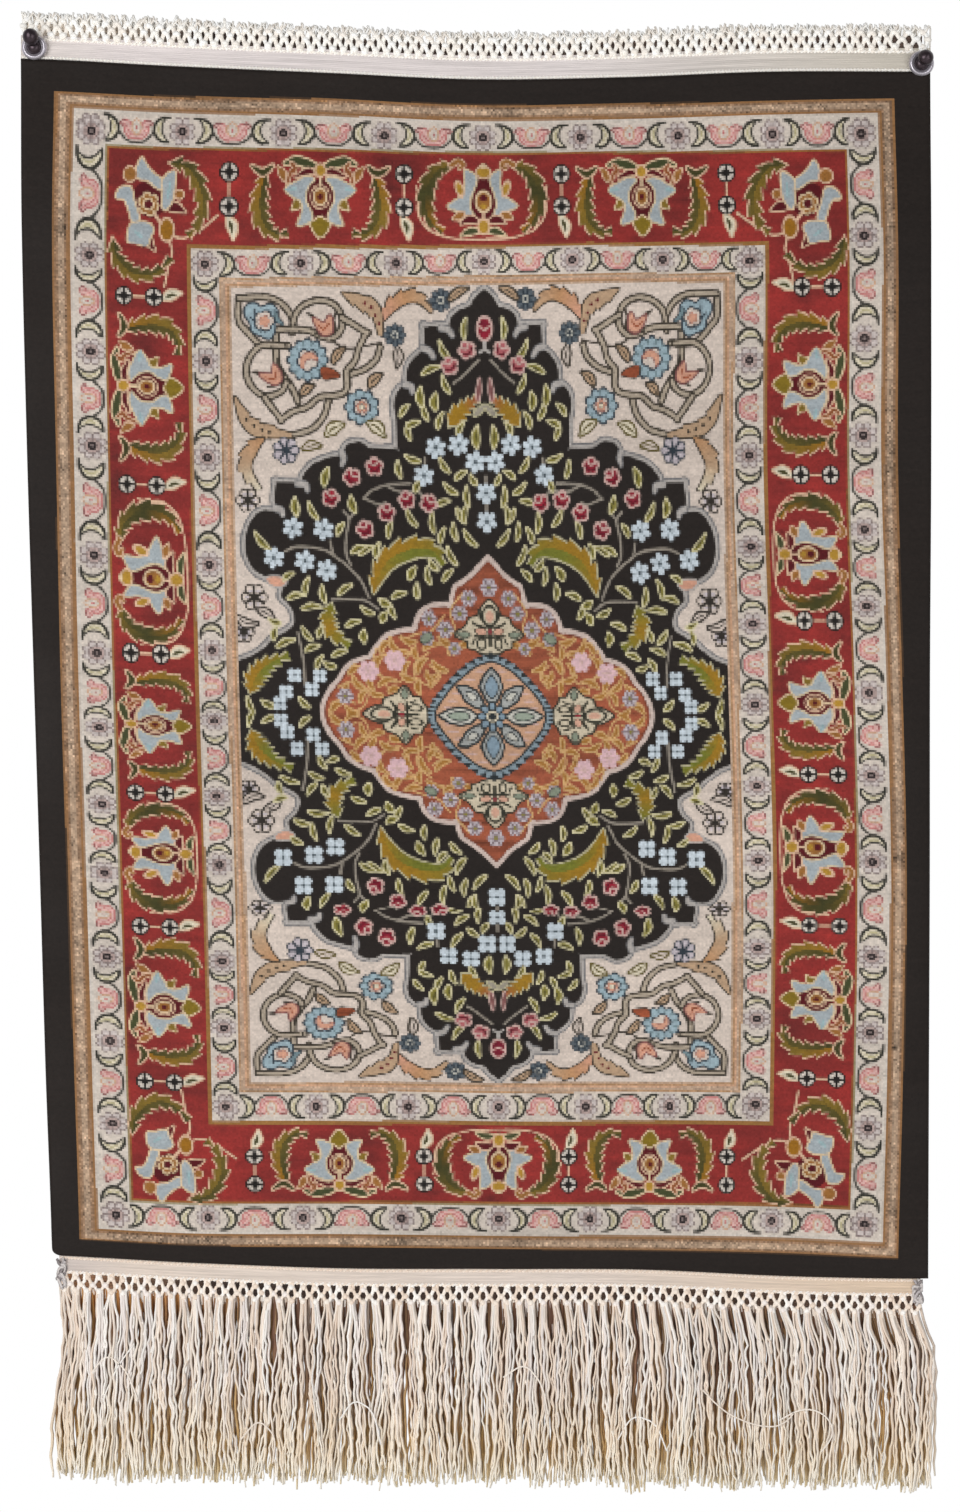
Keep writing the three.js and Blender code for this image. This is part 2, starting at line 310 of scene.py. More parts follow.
class Spot:
    """A motif's middle and turn, and how it is flipped and stretched. wide is for -x and for +x."""

    def __init__(self, p, q, turn=0.0, wide=(1.0, 1.0), tall=1.0, flip=(1, 1), mirrored=False):
        self.p, self.q = p, q
        self.cos, self.sin = math.cos(math.radians(turn)), math.sin(math.radians(turn))
        self.wide, self.tall, self.flip, self.mirrored = wide, tall, flip, mirrored

    def own(self, p, q):
        dp, dq = p - self.p, q - self.q
        x = (dp * self.cos + dq * self.sin) * self.flip[0]
        y = (dq * self.cos - dp * self.sin) * self.flip[1] / self.tall
        x = np.where(x < 0, x / self.wide[0], x / self.wide[1])
        return (np.abs(x) if self.mirrored else x), y

    def reach(self, box, spare):
        """The lowest and highest p and q that a box of the motif's own takes up."""
        low_x, low_y, high_x, high_y = box
        if self.mirrored:
            low_x = -max(abs(low_x), abs(high_x))
            high_x = -low_x
        corners = []
        for x in (low_x - spare, high_x + spare):
            x = x * self.wide[0 if x < 0 else 1] * self.flip[0]
            for y in (low_y - spare, high_y + spare):
                y = y * self.tall * self.flip[1]
                corners.append((self.p + x * self.cos - y * self.sin, self.q + x * self.sin + y * self.cos))
        corners = np.array(corners)
        return corners.min(axis=0), corners.max(axis=0)


DOTS = 3


class Cartoon:
    """The design on even ground, before the weaver's unevenness, a few dots to the millimetre."""

    def __init__(self, low, high):
        self.low = np.array(low, float)
        self.size = [round((high[axis] - low[axis]) * DOTS) for axis in (0, 1)]
        self.colour = np.zeros((self.size[1], self.size[0], 3), np.float32)

    def places(self, low=(0, 0), high=None):
        high = high or self.size
        p = self.low[0] + (np.arange(low[0], high[0]) + 0.5) / DOTS
        q = self.low[1] + (np.arange(low[1], high[1]) + 0.5) / DOTS
        return np.meshgrid(p, q)

    def at(self, *place, **turned):
        """The lay method for shapes at one spot."""
        return partial(self.lay, Spot(*place, **turned))

    def lay(self, spot, shape, shade, rim=None, rim_width=1.0, other=None, inset=0.0):
        """Lays a shape down in a shade, or in shades that follow each other along it, over a wider rim."""
        low, high = spot.reach(shape.box, rim_width + 0.5)
        low = [int(np.clip((low[k] - self.low[k]) * DOTS, 0, self.size[k])) for k in (0, 1)]
        high = [int(np.clip((high[k] - self.low[k]) * DOTS + 1, 0, self.size[k])) for k in (0, 1)]
        if low[0] >= high[0] or low[1] >= high[1]:
            return
        gap = shape.gap(*spot.own(*self.places(low, high))) + inset
        view = self.colour[low[1] : high[1], low[0] : high[0]]
        if rim:
            self.blend(view, gap - rim_width, SHADES[rim])
        if isinstance(shade, str):
            fill = SHADES[shade]
        else:
            fill = self.along(shape, shade)
            if other:
                fill = np.where((shape.side > 0)[..., None], fill, self.along(shape, other))
        self.blend(view, gap, fill)

    @staticmethod
    def along(shape, shades):
        return between([SHADES[name] for name in shades], np.linspace(0, 1, len(shades)), shape.share)

    @staticmethod
    def blend(view, gap, fill):
        cover = np.clip(0.5 - gap * DOTS, 0, 1)[..., None]
        view += (cover * (fill - view)).astype(np.float32)

    def knots(self, p, q):
        """The colour of the knots there: half the dot itself, half the mean of the dots around it."""
        column = np.clip(((p - self.low[0]) * DOTS).astype(int), 1, self.size[0] - 2)
        row = np.clip(((q - self.low[1]) * DOTS).astype(int), 1, self.size[1] - 2)
        total = 0
        for over in (-1, 0, 1):
            for up in (-1, 0, 1):
                total = total + self.colour[row + up, column + over]
        return (total / 9 + self.colour[row, column]) / 2


SHADES = {
    name: srgb(value)
    for name, value in {
        "black": "211B18", "tan": "8A6D55", "tan pale": "A68D76", "tan edge": "8A6440", "inner tan": "AE9580",
        "inner edge": "A27F5E", "gold line": "8C6436", "khaki line": "8E8262", "brown line": "8C5A30",
        "guard": "C4B9AE", "moss": "CDC3AC", "moss line": "A9A07C", "vine": "3C3934", "dark vine": "2A2923",
        "petal": "BDB2AE", "petal line": "7A6C69", "petal pink": "AE9892", "eye": "221A1B",
        "rose": "B26C6A", "rose light": "CDA7A0", "rose line": "744846", "peach": "BC9478",
        "red": "832A27", "maroon": "521017", "blue": "98A0A4", "teal light": "8FA8AB",
        "cream": "CDB593", "pink cream": "CCAA8E", "blue rim": "C6B393", "gold": "8F6117",
        "gold light": "A47E2D", "gold brown": "8E5F2D", "olive": "554B20", "dark olive": "3B391A",
        "olive gold": "786022", "green": "3D4125", "brown": "824925",
        "white": "C3BAB0", "night": "1D1917", "bud": "79641A",
        "field": "C6B8AD", "scroll": "342E26", "scroll light": "A39685", "navy": "2B343C",
        "sky": "8EA1A9", "teal": "6B7F84", "salmon": "C29079", "leaf tan": "AC9074", "peach leaf": "AE835D",
        "ink": "2B2621", "rust bud": "8E492F", "slate": "545C62", "stone": "A39D98", "stone dark": "6E6D6E",
        "ice": "BAC4CB", "ice line": "8C979D", "ice dot": "475055", "crimson": "841A2C", "wine": "5C111F",
        "blush": "BB9D95", "pink": "A2585C", "leaf rim": "C2BA96", "leaf": "7C7434", "leaf slit": "45401E",
        "saz gold": "8F6C1C", "saz olive": "6A6C24", "saz rim": "AFA888", "stem": "877F74",
        "pale leaf": "8F887A", "rust": "8F4C35", "rust dark": "713723", "rust rim": "BFADA4",
        "rust leaf": "96682F", "rust gold": "BE9968", "lilac": "B2A9AE", "lilac line": "766669",
        "rose pink": "CBA8AD",
        "palm cream": "BDB19A", "palm dark": "2B2B22", "palm rose": "C09580", "palm green": "7C8473",
        "diamond blue": "7D8C94", "diamond ink": "242A2C", "diamond salmon": "B89074", "petal ring": "989A97",
        "mist": "8F998A", "pearl": "BAB8AE", "core blue": "798C99",
    }.items()
}


def draw_bands(cartoon):
    """Edge band, stripes, guards, border and field ground, from the outside in."""
    p, q = cartoon.places()
    for across, up, shade in BANDS:
        cartoon.colour[(abs(p) < across) & (abs(q) < up)] = SHADES[shade]


BANDS = [
    (225, 300, "black"),
    (209.5, 284.5, "tan edge"),
    (208.2, 283.4, "tan"),
    (206.9, 282.5, "tan pale"),
    (203.9, 279.7, "tan"),
    (202.7, 278.5, "tan edge"),
    (201, 277, "white"),
    (199.8, 275.9, "guard"),
    (187.4, 262.8, "white"),
    (186, 261.5, "khaki line"),
    (185.1, 260.6, "brown line"),
    (183.7, 259.2, "red"),
    (143.3, 217.8, "gold line"),
    (141.5, 215.5, "guard"),
    (127.5, 201, "inner edge"),
    (126.4, 199.9, "inner tan"),
    (124.9, 198.4, "peach"),
    (124, 197.5, "inner edge"),
    (122.9, 196.4, "inner tan"),
]


# The guards: rosettes and tulips by turns, joined by a vine
OUTER_ROSETTES = {
    "top": [-193, -146.5, -97, -48, 0, 50, 100, 147, 193],
    "bottom": [-193, -145, -97.5, -48.5, 0, 48.5, 98, 144, 192],
    "left": [-269, -219, -176, -132, -88, -52, -12, 23, 68, 119, 163, 210, 267],
    "right": [-268, -217, -167.5, -127.5, -77.5, -32, 10, 49, 83.5, 126, 169.5, 220, 268],
}
INNER_ROSETTES = {
    "top": [-134.5, -88.5, -42.5, 0, 45, 91, 134.5],
    "bottom": [-134, -90, -44.5, 0, 46, 90, 133.5],
    "left": [-208, -167, -132, -81.5, -45.5, -6, 26.5, 66, 116, 161, 208],
    "right": [-207, -162, -124.5, -78, -38.5, 4, 40.5, 75.5, 117, 160, 207],
}
SIDES = {
    "top": {"turn": 0, "flip": 1, "out": (0, 1)},
    "bottom": {"turn": 180, "flip": -1, "out": (0, -1)},
    "left": {"turn": 90, "flip": 1, "out": (-1, 0)},
    "right": {"turn": -90, "flip": -1, "out": (1, 0)},
}
GUARDS = [(OUTER_ROSETTES, (269, 193.2), -0.6), (INNER_ROSETTES, (208.2, 134.5), 0)]
HALF_STEP = 24.3
SIDE_TULIP = 0.84
TULIP_HEIGHT = 0.78


def on_side(cartoon, side, along, out, wide=(1.0, 1.0), tall=1.0, mirrored=True, flip=1):
    """Cartoon.lay for a spot in a border: along its side, and out from the carpet's middle."""
    row = SIDES[side]
    p, q = (along, out * row["out"][1]) if row["out"][0] == 0 else (out * row["out"][0], along)
    return cartoon.at(p, q, row["turn"], wide, tall, (row["flip"] * flip, 1), mirrored)


def guard_rosette(lay, out):
    middle = (0, out)
    lay(Flower(6.2, 8, 0.34, 0.4, middle), "petal", "petal line", 0.75)
    lay(Spokes(5.6, 8, 0.8, 0.4, middle), "petal line")
    lay(Flower(3.5, 8, 0.3, 0.4, middle), "petal pink", "petal line", 0.55)
    lay(Oval(2.2, 2.2, middle), "eye")
    lay(Oval(0.8, 0.8, middle), "petal line")


def guard_step(lay):
    """The crescent beside a rosette at 0, and the vine from it to the next tulip's foot."""
    fill = Stroke([(8.0, 5.6), (11.4, 3.6), (12.8, 0.2), (11.6, -3), (8.6, -5.2)], [1, 3, 3.8, 3, 1])
    lay(fill, "moss")
    lay(Stroke([(11.4, 3), (12.6, 0.2), (11.4, -2.6)], [0.6, 1.1, 0.6]), "moss line")
    outer = [(6.4, 5.7), (10, 5.4), (13.4, 3.4), (14.8, 0.2), (13.8, -3.2), (10.8, -5.4), (7.4, -5.8)]
    lay(Stroke(outer, [1.2, 1.6, 1.7, 1.6, 1.3]), "dark vine")
    inner = [(8.6, 5), (10.3, 2.8), (10.8, -0.2), (9.6, -3), (7.8, -4.8)]
    lay(Stroke(inner, [1.0, 1.2, 1.0]), "vine")
    vine = [(14.8, -0.6), (16.2, -2.6), (18.6, -4.8), (21, -5.8), (24.3, -6)]
    lay(Stroke(vine, [1.4, 1.2, 1.2]), "vine")


def guard_tulip(lay):
    """A pink flower: two curled petals around a pale bud."""
    side = [(0, -5.4), (3.6, -4.8), (5.7, -2), (6, 1), (8, 3.2), (6.2, 4.6), (3.9, 3.4), (2.6, 0.2),
            (0, -0.6)]
    lay(Blob(both_sides(side)), "rose light", "rose", 1.0)
    lay(Stroke([(6.4, 3), (4.4, -0.6), (3, -3.2), (0, -4)], 0.7), "rose")
    lay(Stroke([(5, 4.2), (7, 4.7), (8.4, 3.4), (7.4, 1.8)], [0.7, 0.9, 0.7]), "rose line")
    bud = [(0, 5), (1.9, 2.4), (1.9, -0.8), (0, -3), (-1.9, -0.8), (-1.9, 2.4)]
    lay(Blob(bud), "guard", "peach", 0.9)
    lay(Oval(0.6, 1.2, (0, 0.6)), "rose")


def draw_guards(cartoon):
    for rosettes, out_of, rise in GUARDS:
        for side, places in rosettes.items():
            upright = side in ("left", "right")
            out = out_of[upright]
            for low, high in zip(places, places[1:]):
                stretch = (high - low) / 2 / HALF_STEP
                for place, flip in ((low, 1), (high, -1)):
                    guard_step(on_side(cartoon, side, place, out, (stretch, stretch), 1, False, flip))
                opened = SIDE_TULIP * stretch if upright else stretch
                guard_tulip(on_side(cartoon, side, (low + high) / 2, out, (opened, opened), TULIP_HEIGHT))
            for k, place in enumerate(places):
                last = len(places) - 1
                room = places[min(k + 1, last)] - places[max(k - 1, 0)]
                wide = min(1.0, room / 4 / HALF_STEP * (2 if k in (0, last) else 1))
                guard_rosette(on_side(cartoon, side, place, out, (wide, wide)), rise)


# The red border: palmettes by turns, pairs of rosettes between them and a palmette at each corner
PALMETTE_WING = [(3, 9), (7, 9.6), (11.4, 7.6), (16.6, 4.4), (13, 1.2), (9.8, -0.4), (8.6, -3), (9, -7),
                 (10.6, -11.4), (7.4, -11), (4, -9), (5, -5), (7.2, -1), (6.8, 4), (4.8, 7.2)]


def heart_palmette(lay):
    """The palmette whose blue wings meet in a V towards the field."""
    lay(Stroke([(0, 13), (6, 15.6), (12, 17), (17, 15.8)], [2, 3.6, 3.4, 1]), "green", "cream", 0.9)
    lay(Stroke([(2, 11.6), (6, 12.4), (11.5, 10.2)], [1, 2.6, 1]), "maroon", "pink cream", 0.7)
    lay(Stroke([(14, 16), (12.3, 13.6), (14.4, 11.3), (15.8, 7.2)], [1, 1.8, 0.8]), "brown", "pink cream",
        0.6)
    lay(leaf((11, 0.5), (13.6, -4.5), 3.4, -0.2), "olive gold", "cream", 0.7)
    lay(Blob([(0, 8), (4.5, 7.5), (7.6, 3), (7.6, -1.5), (5.2, -5.5), (2.5, -8.7), (0, -9.6)]), "maroon")
    lay(Blob([(0, -8.6), (2.2, -9.4), (4.4, -10.6), (3.2, -14), (0, -16.8)]), "bud", "cream", 0.8)
    lay(Blob(PALMETTE_WING), "blue", "blue rim", 0.9)
    lay(Stroke([(12.5, 4.6), (16.5, 3.9)], [1.6, 1]), "teal light")
    lay(Oval(4.3, 4.9, (0, 1)), "maroon", "pink cream", 0.6)
    lay(Oval(2.6, 3.2, (0, 1)), "gold brown", "cream", 0.8)
    lay(Oval(1.1, 1.5, (0, 1)), "maroon")
    lay(Stroke([(0, 12), (0, 6)], 1.2), "cream")
    lay(Oval(2.2, 2.4, (0, 12.8)), "gold light", "pink cream", 0.9)
    lay(leaf((17.6, 8.6), (20.6, 14.2), 3, 0.1), "gold brown", "pink cream", 0.7)
    saz = Stroke([(26.5, 11.2), (28.6, 4), (29.3, -4), (27, -11.4), (21.5, -15.4), (15.5, -15)],
                 [2.6, 5, 6.8, 7, 5, 2.6, 0.6], teeth=7, bite=2.2)
    lay(saz, ["gold", "olive gold", "olive"], "pink cream", 0.8, ["dark olive", "olive", "dark olive"])
    lay(Blob([(23, 15.2), (28, 13.2), (33.4, 15), (31.6, 12.4), (28, 10.4), (24.6, 12)]), "dark olive",
        "pink cream", 0.8)


def open_palmette(lay):
    """The palmette whose blue wings part towards the field, held by two crescent leaves."""
    vine = [(32.5, 7.5), (31.5, 2), (32, -3), (30, -8.5), (25.5, -13), (20, -15), (16, -16.2), (9, -16.8),
            (0, -17)]
    lay(Stroke(vine, 0.9), "pink cream")
    lay(Blob([(0, 13.5), (3.6, 11), (4.4, 6), (6.2, 1.5), (7.6, -2), (7.8, -5.5), (4, -7), (0, -6)]),
        "maroon")
    wing = [(3.5, 11), (5, 13), (8.8, 14.8), (8.4, 8), (10.4, 3), (16.9, -1.5), (12, -4), (8, -7.5), (5, -7),
            (6.8, -2), (6.2, 3), (4.2, 8)]
    lay(Blob(wing), "blue", "blue rim", 0.9)
    lay(Oval(1.4, 2.8, (11.6, 6.4), -20), "gold light", "pink cream", 0.8)
    lay(leaf((9.8, -5.2), (14.6, -7.4), 3.2), "gold brown", "pink cream", 0.8)
    lay(leaf((3, -8.6), (11, -9.6), 3.4, 0.15), "maroon", "pink cream", 0.8)
    lay(leaf((2, -13.4), (11, -15.2), 2.8, 0.1), "green", "cream", 0.8)
    lay(Oval(2.5, 3, (0, -11.2)), "gold light", "pink cream", 0.9)
    lay(Stroke([(0, -8), (0, -4)], 1.2), "pink cream")
    lay(Oval(3.4, 4.2, (0, 0.4)), "gold brown", "cream", 0.9)
    lay(Oval(1.9, 1.7, (0, 2)), "maroon")
    lay(Oval(1.6, 1.3, (0, -1.8)), "gold light")
    lay(Oval(3.2, 2.4, (0, 14)), "gold light", "pink cream", 0.8)
    lay(Oval(1.6, 1.0, (0, 17)), "cream")
    crescent = Stroke([(15, 17), (21.5, 15.4), (26.6, 9), (28, -0.5), (25.3, -8.6), (19.6, -13.4)],
                      [1.6, 4.4, 6, 6.8, 5.6, 3, 0.8], teeth=7, bite=2.0)
    lay(crescent, ["olive gold", "dark olive", "olive"], "pink cream", 0.8, ["olive", "dark olive", "gold"])
    lay(Stroke([(15.4, 17.4), (12, 19.2), (9.6, 17.4), (11.6, 16)], [2, 1.8, 1.2]), "gold brown",
        "pink cream", 0.6)


def rosette_pair(lay):
    """Two quartered rosettes, one out from the other, with a leaf below."""
    lay(leaf((-0.6, -8), (2.2, -17.4), 4.4, 0.1), "moss", "pink cream", 0.8)
    lay(leaf((0, -9.4), (1.4, -15), 1.8, 0.1), "dark olive")
    lay(Stroke([(0, 12), (0, -4)], 1.0), "pink cream")
    for up in (12, -3.2):
        lay(Oval(4.6, 4.6, (0, up)), "night")
        lay(Oval(3.7, 3.7, (0, up)), "white")
        lay(Stroke([(0, up - 4), (0, up + 4)], [0.9, 2.0, 0.9]), "night")
        lay(Stroke([(-4, up), (4, up)], [0.9, 2.0, 0.9]), "night")
        lay(Oval(1.9, 1.9, (0, up)), "night")


def corner_piece(lay):
    """The vine and the two toothed leaves of a corner. x and y run from the middle of its head."""
    vine = [(35, -4), (27, -10), (20, -14), (15, -14.3), (12, -13), (11, -16), (12, -22), (10, -29), (8, -40)]
    lay(Stroke(vine, 1.1), "pink cream")
    saz = Stroke([(10, 18.5), (19, 17), (25, 10), (27.4, 0.5), (25, -8.5), (20, -13.5)],
                 [1.4, 4, 5.6, 5.6, 4.2, 2.2, 0.8], teeth=7, bite=2.4)
    lay(saz, ["dark olive", "olive", "olive gold"], "pink cream", 0.8, ["olive", "olive gold", "olive"])
    low = Stroke([(-18, -15), (-16, -25), (-10.5, -31.4), (-3, -34), (5, -31.4), (11.5, -24.5)],
                 [1.2, 4.2, 6.2, 6.4, 5, 2.6, 0.8], teeth=7, bite=2.4)
    lay(low, ["dark olive", "olive", "dark olive"], "pink cream", 0.8, ["olive", "olive gold", "olive"])


def corner_head(lay):
    """Four blue wings around a maroon disk with a gold rosette. x and y run in and up from its middle."""
    lay(leaf((9, -1), (18.6, -3), 4, 0.1), "maroon", "pink cream", 0.8)
    lay(leaf((-1, -11), (3.4, -21), 4, -0.1), "maroon", "pink cream", 0.8)
    lay(Oval(8.6, 7.4, (0.2, 2), -45), "maroon")
    for wing in CORNER_WINGS:
        lay(Blob(wing), "blue", "cream", 0.9)
    lay(Stroke([(10.6, 10), (10, 3)], [0.8, 1.8, 0.8]), "teal light")
    lay(Stroke([(-7, -12), (-3, -15)], [0.8, 1.8, 0.8]), "teal light")
    lay(Oval(3, 3, (-9.4, 13)), "gold brown", "pink cream", 0.8)
    lay(Oval(2, 1.8, (15.6, 4.6)), "gold brown", "pink cream", 0.7)
    lay(Oval(3.2, 4.4, (9.4, -11), 0), "gold", "pink cream", 0.9)
    lay(Stroke([(6.4, -8), (3, -4)], 1.6), "pink cream")
    lay(Flower(4.6, 6, 0.3, 0.3), "gold brown", "cream", 1.0)
    lay(Flower(2.2, 5, 0.2), "maroon", "cream", 0.8)
    lay(Oval(1.2, 1.2), "maroon")


HEARTS = {
    "top": [(-79, 1, 1), (81, 1, 1)],
    "bottom": [(-79, 1, 1), (80, 1, 1)],
    "left": [(148, 1.05, 1.0), (-9, 0.86, 0.75), (-157, 0.9, 1.07)],
    "right": [(149, 0.95, 0.96), (5, 0.86, 0.82), (-151, 0.92, 0.89)],
}
OPENS = {
    "top": [(0, 1, 1)],
    "bottom": [(0, 1, 1)],
    "left": [(58, 0.92, 1.15), (-76, 0.97, 0.81)],
    "right": [(72, 0.79, 0.86), (-70.6, 1.1, 0.95)],
}
PAIRS = {
    "top": [-123, -38.5, 40, 124],
    "bottom": [-121, -37, 37, 121],
    "left": [190, 102, 24, -45, -115, -196],
    "right": [193, 108, 42, -32, -112, -193],
}
CORNERS = [(-163, 235, 1, 1), (164, 235, -1, 1), (-165, -240, 1, -1), (164, -240, -1, -1)]
CORNER_WINGS = [
    [(-3.7, 20.2), (-6.2, 15.1), (-5.1, 11.4), (-0.7, 10.7), (3.7, 7.7), (6.6, 7), (6.6, 10.7), (2.2, 13.6),
     (-1.5, 17.3)],
    [(9.6, 13.6), (13.2, 14.3), (12.9, 7), (11.8, 1.8), (8.5, -2.2), (7, 1.1), (7.4, 7), (6.6, 9.9)],
    [(-14, 6.6), (-16.2, 2.6), (-12.1, 1.8), (-9.6, -3.3), (-8.1, -7.7), (-5.9, -7.7), (-4.8, -6.2),
     (-7.4, 1.1), (-9.2, 7)],
    [(-9.2, -9.9), (-10.3, -16.5), (-6.6, -17.3), (-0.7, -18.7), (0.7, -15.1), (2.6, -10.7), (-0.7, -8.5),
     (-5.9, -8.5)],
]
BORDER_OUT = {"top": 238, "bottom": 238, "left": 163.5, "right": 163.5}


def draw_border(cartoon):
    for p, q, over, up in CORNERS:
        lay = cartoon.at(p, q, flip=(over, up))
        corner_piece(lay)
        corner_head(lay)
    for side, out in BORDER_OUT.items():
        for place, low, high in OPENS[side]:
            open_palmette(on_side(cartoon, side, place, out - 1, (low, high)))
        for place, low, high in HEARTS[side]:
            heart_palmette(on_side(cartoon, side, place, out, (low, high)))
        for place in PAIRS[side]:
            rosette_pair(on_side(cartoon, side, place, out, mirrored=False))


# The field: one quarter is drawn, and the others mirror it
FIELD_MIDDLE = -2.5

MEDALLION = [
    (2, 194), (0, 193.8), (-4.5, 190), (-7, 186.2), (-12, 184.6), (-15.8, 181.5), (-17, 177.6), (-17, 177.6),
    (-29, 177), (-29, 177), (-29.5, 166.5), (-29.5, 166.5), (-34, 163), (-37.3, 158), (-38, 150.8),
    (-38, 150.8), (-42.3, 147.5), (-44.3, 141), (-43.3, 134), (-43, 121), (-43, 121), (-55, 121),
    (-61, 123.8), (-67, 122.3), (-69.6, 117.6), (-69.6, 117.6), (-76, 116.2), (-83.4, 113.3), (-88.4, 108.3),
    (-89.5, 104.8), (-89.5, 104.8), (-101.5, 104.8), (-101.5, 104.8), (-102.6, 97), (-101.5, 91),
    (-101.5, 91), (-108.4, 91.6), (-113.8, 87.3), (-117, 79.5), (-116.8, 70.5), (-112.8, 63.5),
    (-105.5, 59.5), (-99.5, 56), (-99.5, 56), (-100.5, 51.3), (-96.6, 47.6), (-94.4, 42.4), (-95.8, 37.4),
    (-104.8, 32.4), (-108.8, 28.6), (-116, 24), (-124, 21), (-124, 21), (-124, -8), (-124, -8), (2, -8),
    (2, -8),
]
MEDALLION_HOOKS = [
    [(-21, 176.2), (-17.4, 175.4), (-15.6, 172.6)],
    [(-30, 167.2), (-26.8, 166), (-24.8, 162.9)],
    [(-38.6, 150.4), (-35.8, 149.6), (-35, 147)],
    [(-69.8, 119), (-68.8, 116), (-69.6, 113)],
    [(-91, 104), (-87.4, 103.6), (-86.6, 100.8)],
    [(-102, 92.6), (-99.4, 91.6), (-98.8, 89.4)],
]


def scroll(lay, points):
    """A pair of dark lines side by side along a curve."""
    lay(Stroke(points, 3.9), "scroll")
    lay(Stroke(points, 1.7), "scroll light")


def drawn_leaf(lay, start, end, width, shade="leaf tan", line="scroll", bend=0.1):
    lay(leaf(start, end, width, bend), shade, line, 1.2)
    lay(leaf(start, end, 0.26 * width, bend), line)


def lily(cartoon, p, q, turn):
    """A salmon flower in profile between two dark curled sepals."""
    lay = cartoon.at(p, q, turn)
    lay(Stroke([(-8, 6), (-5.5, 4.6), (-3.5, 1.8)], [1, 2, 1.4]), "scroll")
    lay(Stroke([(6, 6.6), (4.6, 2.6), (5.6, -1.4), (2, -4.6), (-4, -3.4)], [1, 1.9, 1.4, 1.2]), "scroll")
    petals = Blob([(-5, 3.5), (-2.4, 2.6), (0.4, 1.4), (3, 5), (4.2, 0.4), (3.4, -3), (0, -4), (-3, -1)])
    lay(petals, "salmon", "rose line", 0.9)
    lay(Stroke([(-3, 1), (0, -1.4), (2.6, 1.4)], [0.6, 1.1, 0.6]), "rust bud")


def lobed_palmette(cartoon, p, q, radius, lobes, turn, heart):
    lay = cartoon.at(p, q, turn)
    lay(Flower(radius, lobes, 0.3), "sky", "navy", 1.3)
    lay(Spokes(radius, lobes, 1.0), "teal")
    lay(Flower(radius * 0.68, lobes, 0.2, 0.3), "sky")
    lay(Flower(radius * 0.5, 5, 0.3, 0.4), "field", "navy", 1.1)
    lay(heart, "salmon", "rose line", 0.5)


SCROLLS = [
    [(-50.5, 167.5), (-52.5, 162), (-58, 157.3), (-66, 154.6)],
    [(-75.5, 143), (-78, 135.5), (-84, 129.3), (-93, 126.6)],
    [(-100.5, 175.4), (-100.5, 161), (-97.4, 154.5), (-93, 148), (-90.5, 142)],
    [(-118.4, 190.6), (-118.5, 180.4), (-114.6, 175), (-110, 170), (-106.5, 168.4), (-95, 168)],
    [(-118.4, 190.6), (-106, 190.8), (-99, 188.6), (-94.8, 184.4), (-92.4, 179), (-93, 174)],
    [(-92.6, 178.4), (-90.6, 183.4), (-86, 187.4), (-79, 189), (-72.4, 186.8), (-68.7, 181.4), (-69.2, 175.4),
     (-73.4, 171.6), (-79, 172.4), (-85, 175), (-93, 175.8), (-101, 175.4)],
    [(-97, 168), (-107, 168.4), (-113, 163.6), (-115.2, 156.6), (-113, 149.6), (-107.6, 145.2), (-102, 145.2),
     (-97.6, 147.6), (-95.8, 151)],
    [(-106.4, 144), (-102, 138), (-98.6, 133.8), (-98.6, 133.8), (-92.6, 137.6), (-86, 139.6), (-80.4, 144),
     (-74, 144.8), (-68.6, 146), (-66.4, 150), (-66.8, 156), (-62.8, 161), (-60.8, 167), (-57, 174),
     (-57, 174), (-63.6, 178), (-69, 181)],
]
DRAWN_LEAVES = [
    ((-88.4, 145.4), (-83, 149.6), 3.4),
    ((-73, 160.6), (-67.6, 167), 3.2),
    ((-55.5, 149.6), (-50, 155), 3.6),
    ((-76.6, 127), (-68.6, 131.6), 4.4, "moss", "olive"),
    ((-56, 132.5), (-49, 126.6), 4.4, "moss", "olive"),
    ((-42.4, 167), (-42.6, 158.6), 3.4, "field"),
    ((-88, 120.4), (-80, 121.6), 3, "field", "olive"),
]
SPOTTED_LEAVES = [
    ([(-68, 192), (-60, 188.6), (-53, 184.4), (-49.6, 173)], [1.4, 5, 7, 5, 1], -1,
     [(-57.6, 187.6), (-54.6, 185.8), (-52.8, 182), (-51, 178.4)], "wine"),
    ([(-120.6, 144), (-116.4, 134.6), (-110.6, 129.6), (-102, 127.6), (-93.4, 126)], [1.4, 5, 6.6, 4.6, 0.8],
     1,
     [(-115.4, 134), (-112, 131), (-108, 129), (-104.4, 128)], "ink"),
]
TOOTHED_LEAVES = [
    ([(-48.6, 180.4), (-45, 186.4), (-38.4, 190.4), (-31.6, 190), (-25.4, 183.8)], [1.4, 5.4, 5.6, 4.4, 0.8],
     6, 1, ["salmon", "peach leaf", "leaf tan"]),
    ([(-108, 125), (-113.6, 119.6), (-116.4, 112.6), (-113.8, 106.4), (-109.4, 101.6)], [2, 6, 6, 4, 0.8],
     5, -1, ["peach leaf", "leaf tan", "moss"]),
]


def draw_scrolls(lay):
    """The double lines in the order in which they cross, with a thin one under most of them."""
    for points in SCROLLS[:2]:
        scroll(lay, points)
    lay(Stroke([(-74, 170.5), (-67, 166.6), (-58, 168), (-50, 169.6)], 1.1), "scroll")
    for points in SCROLLS[2:]:
        scroll(lay, points)


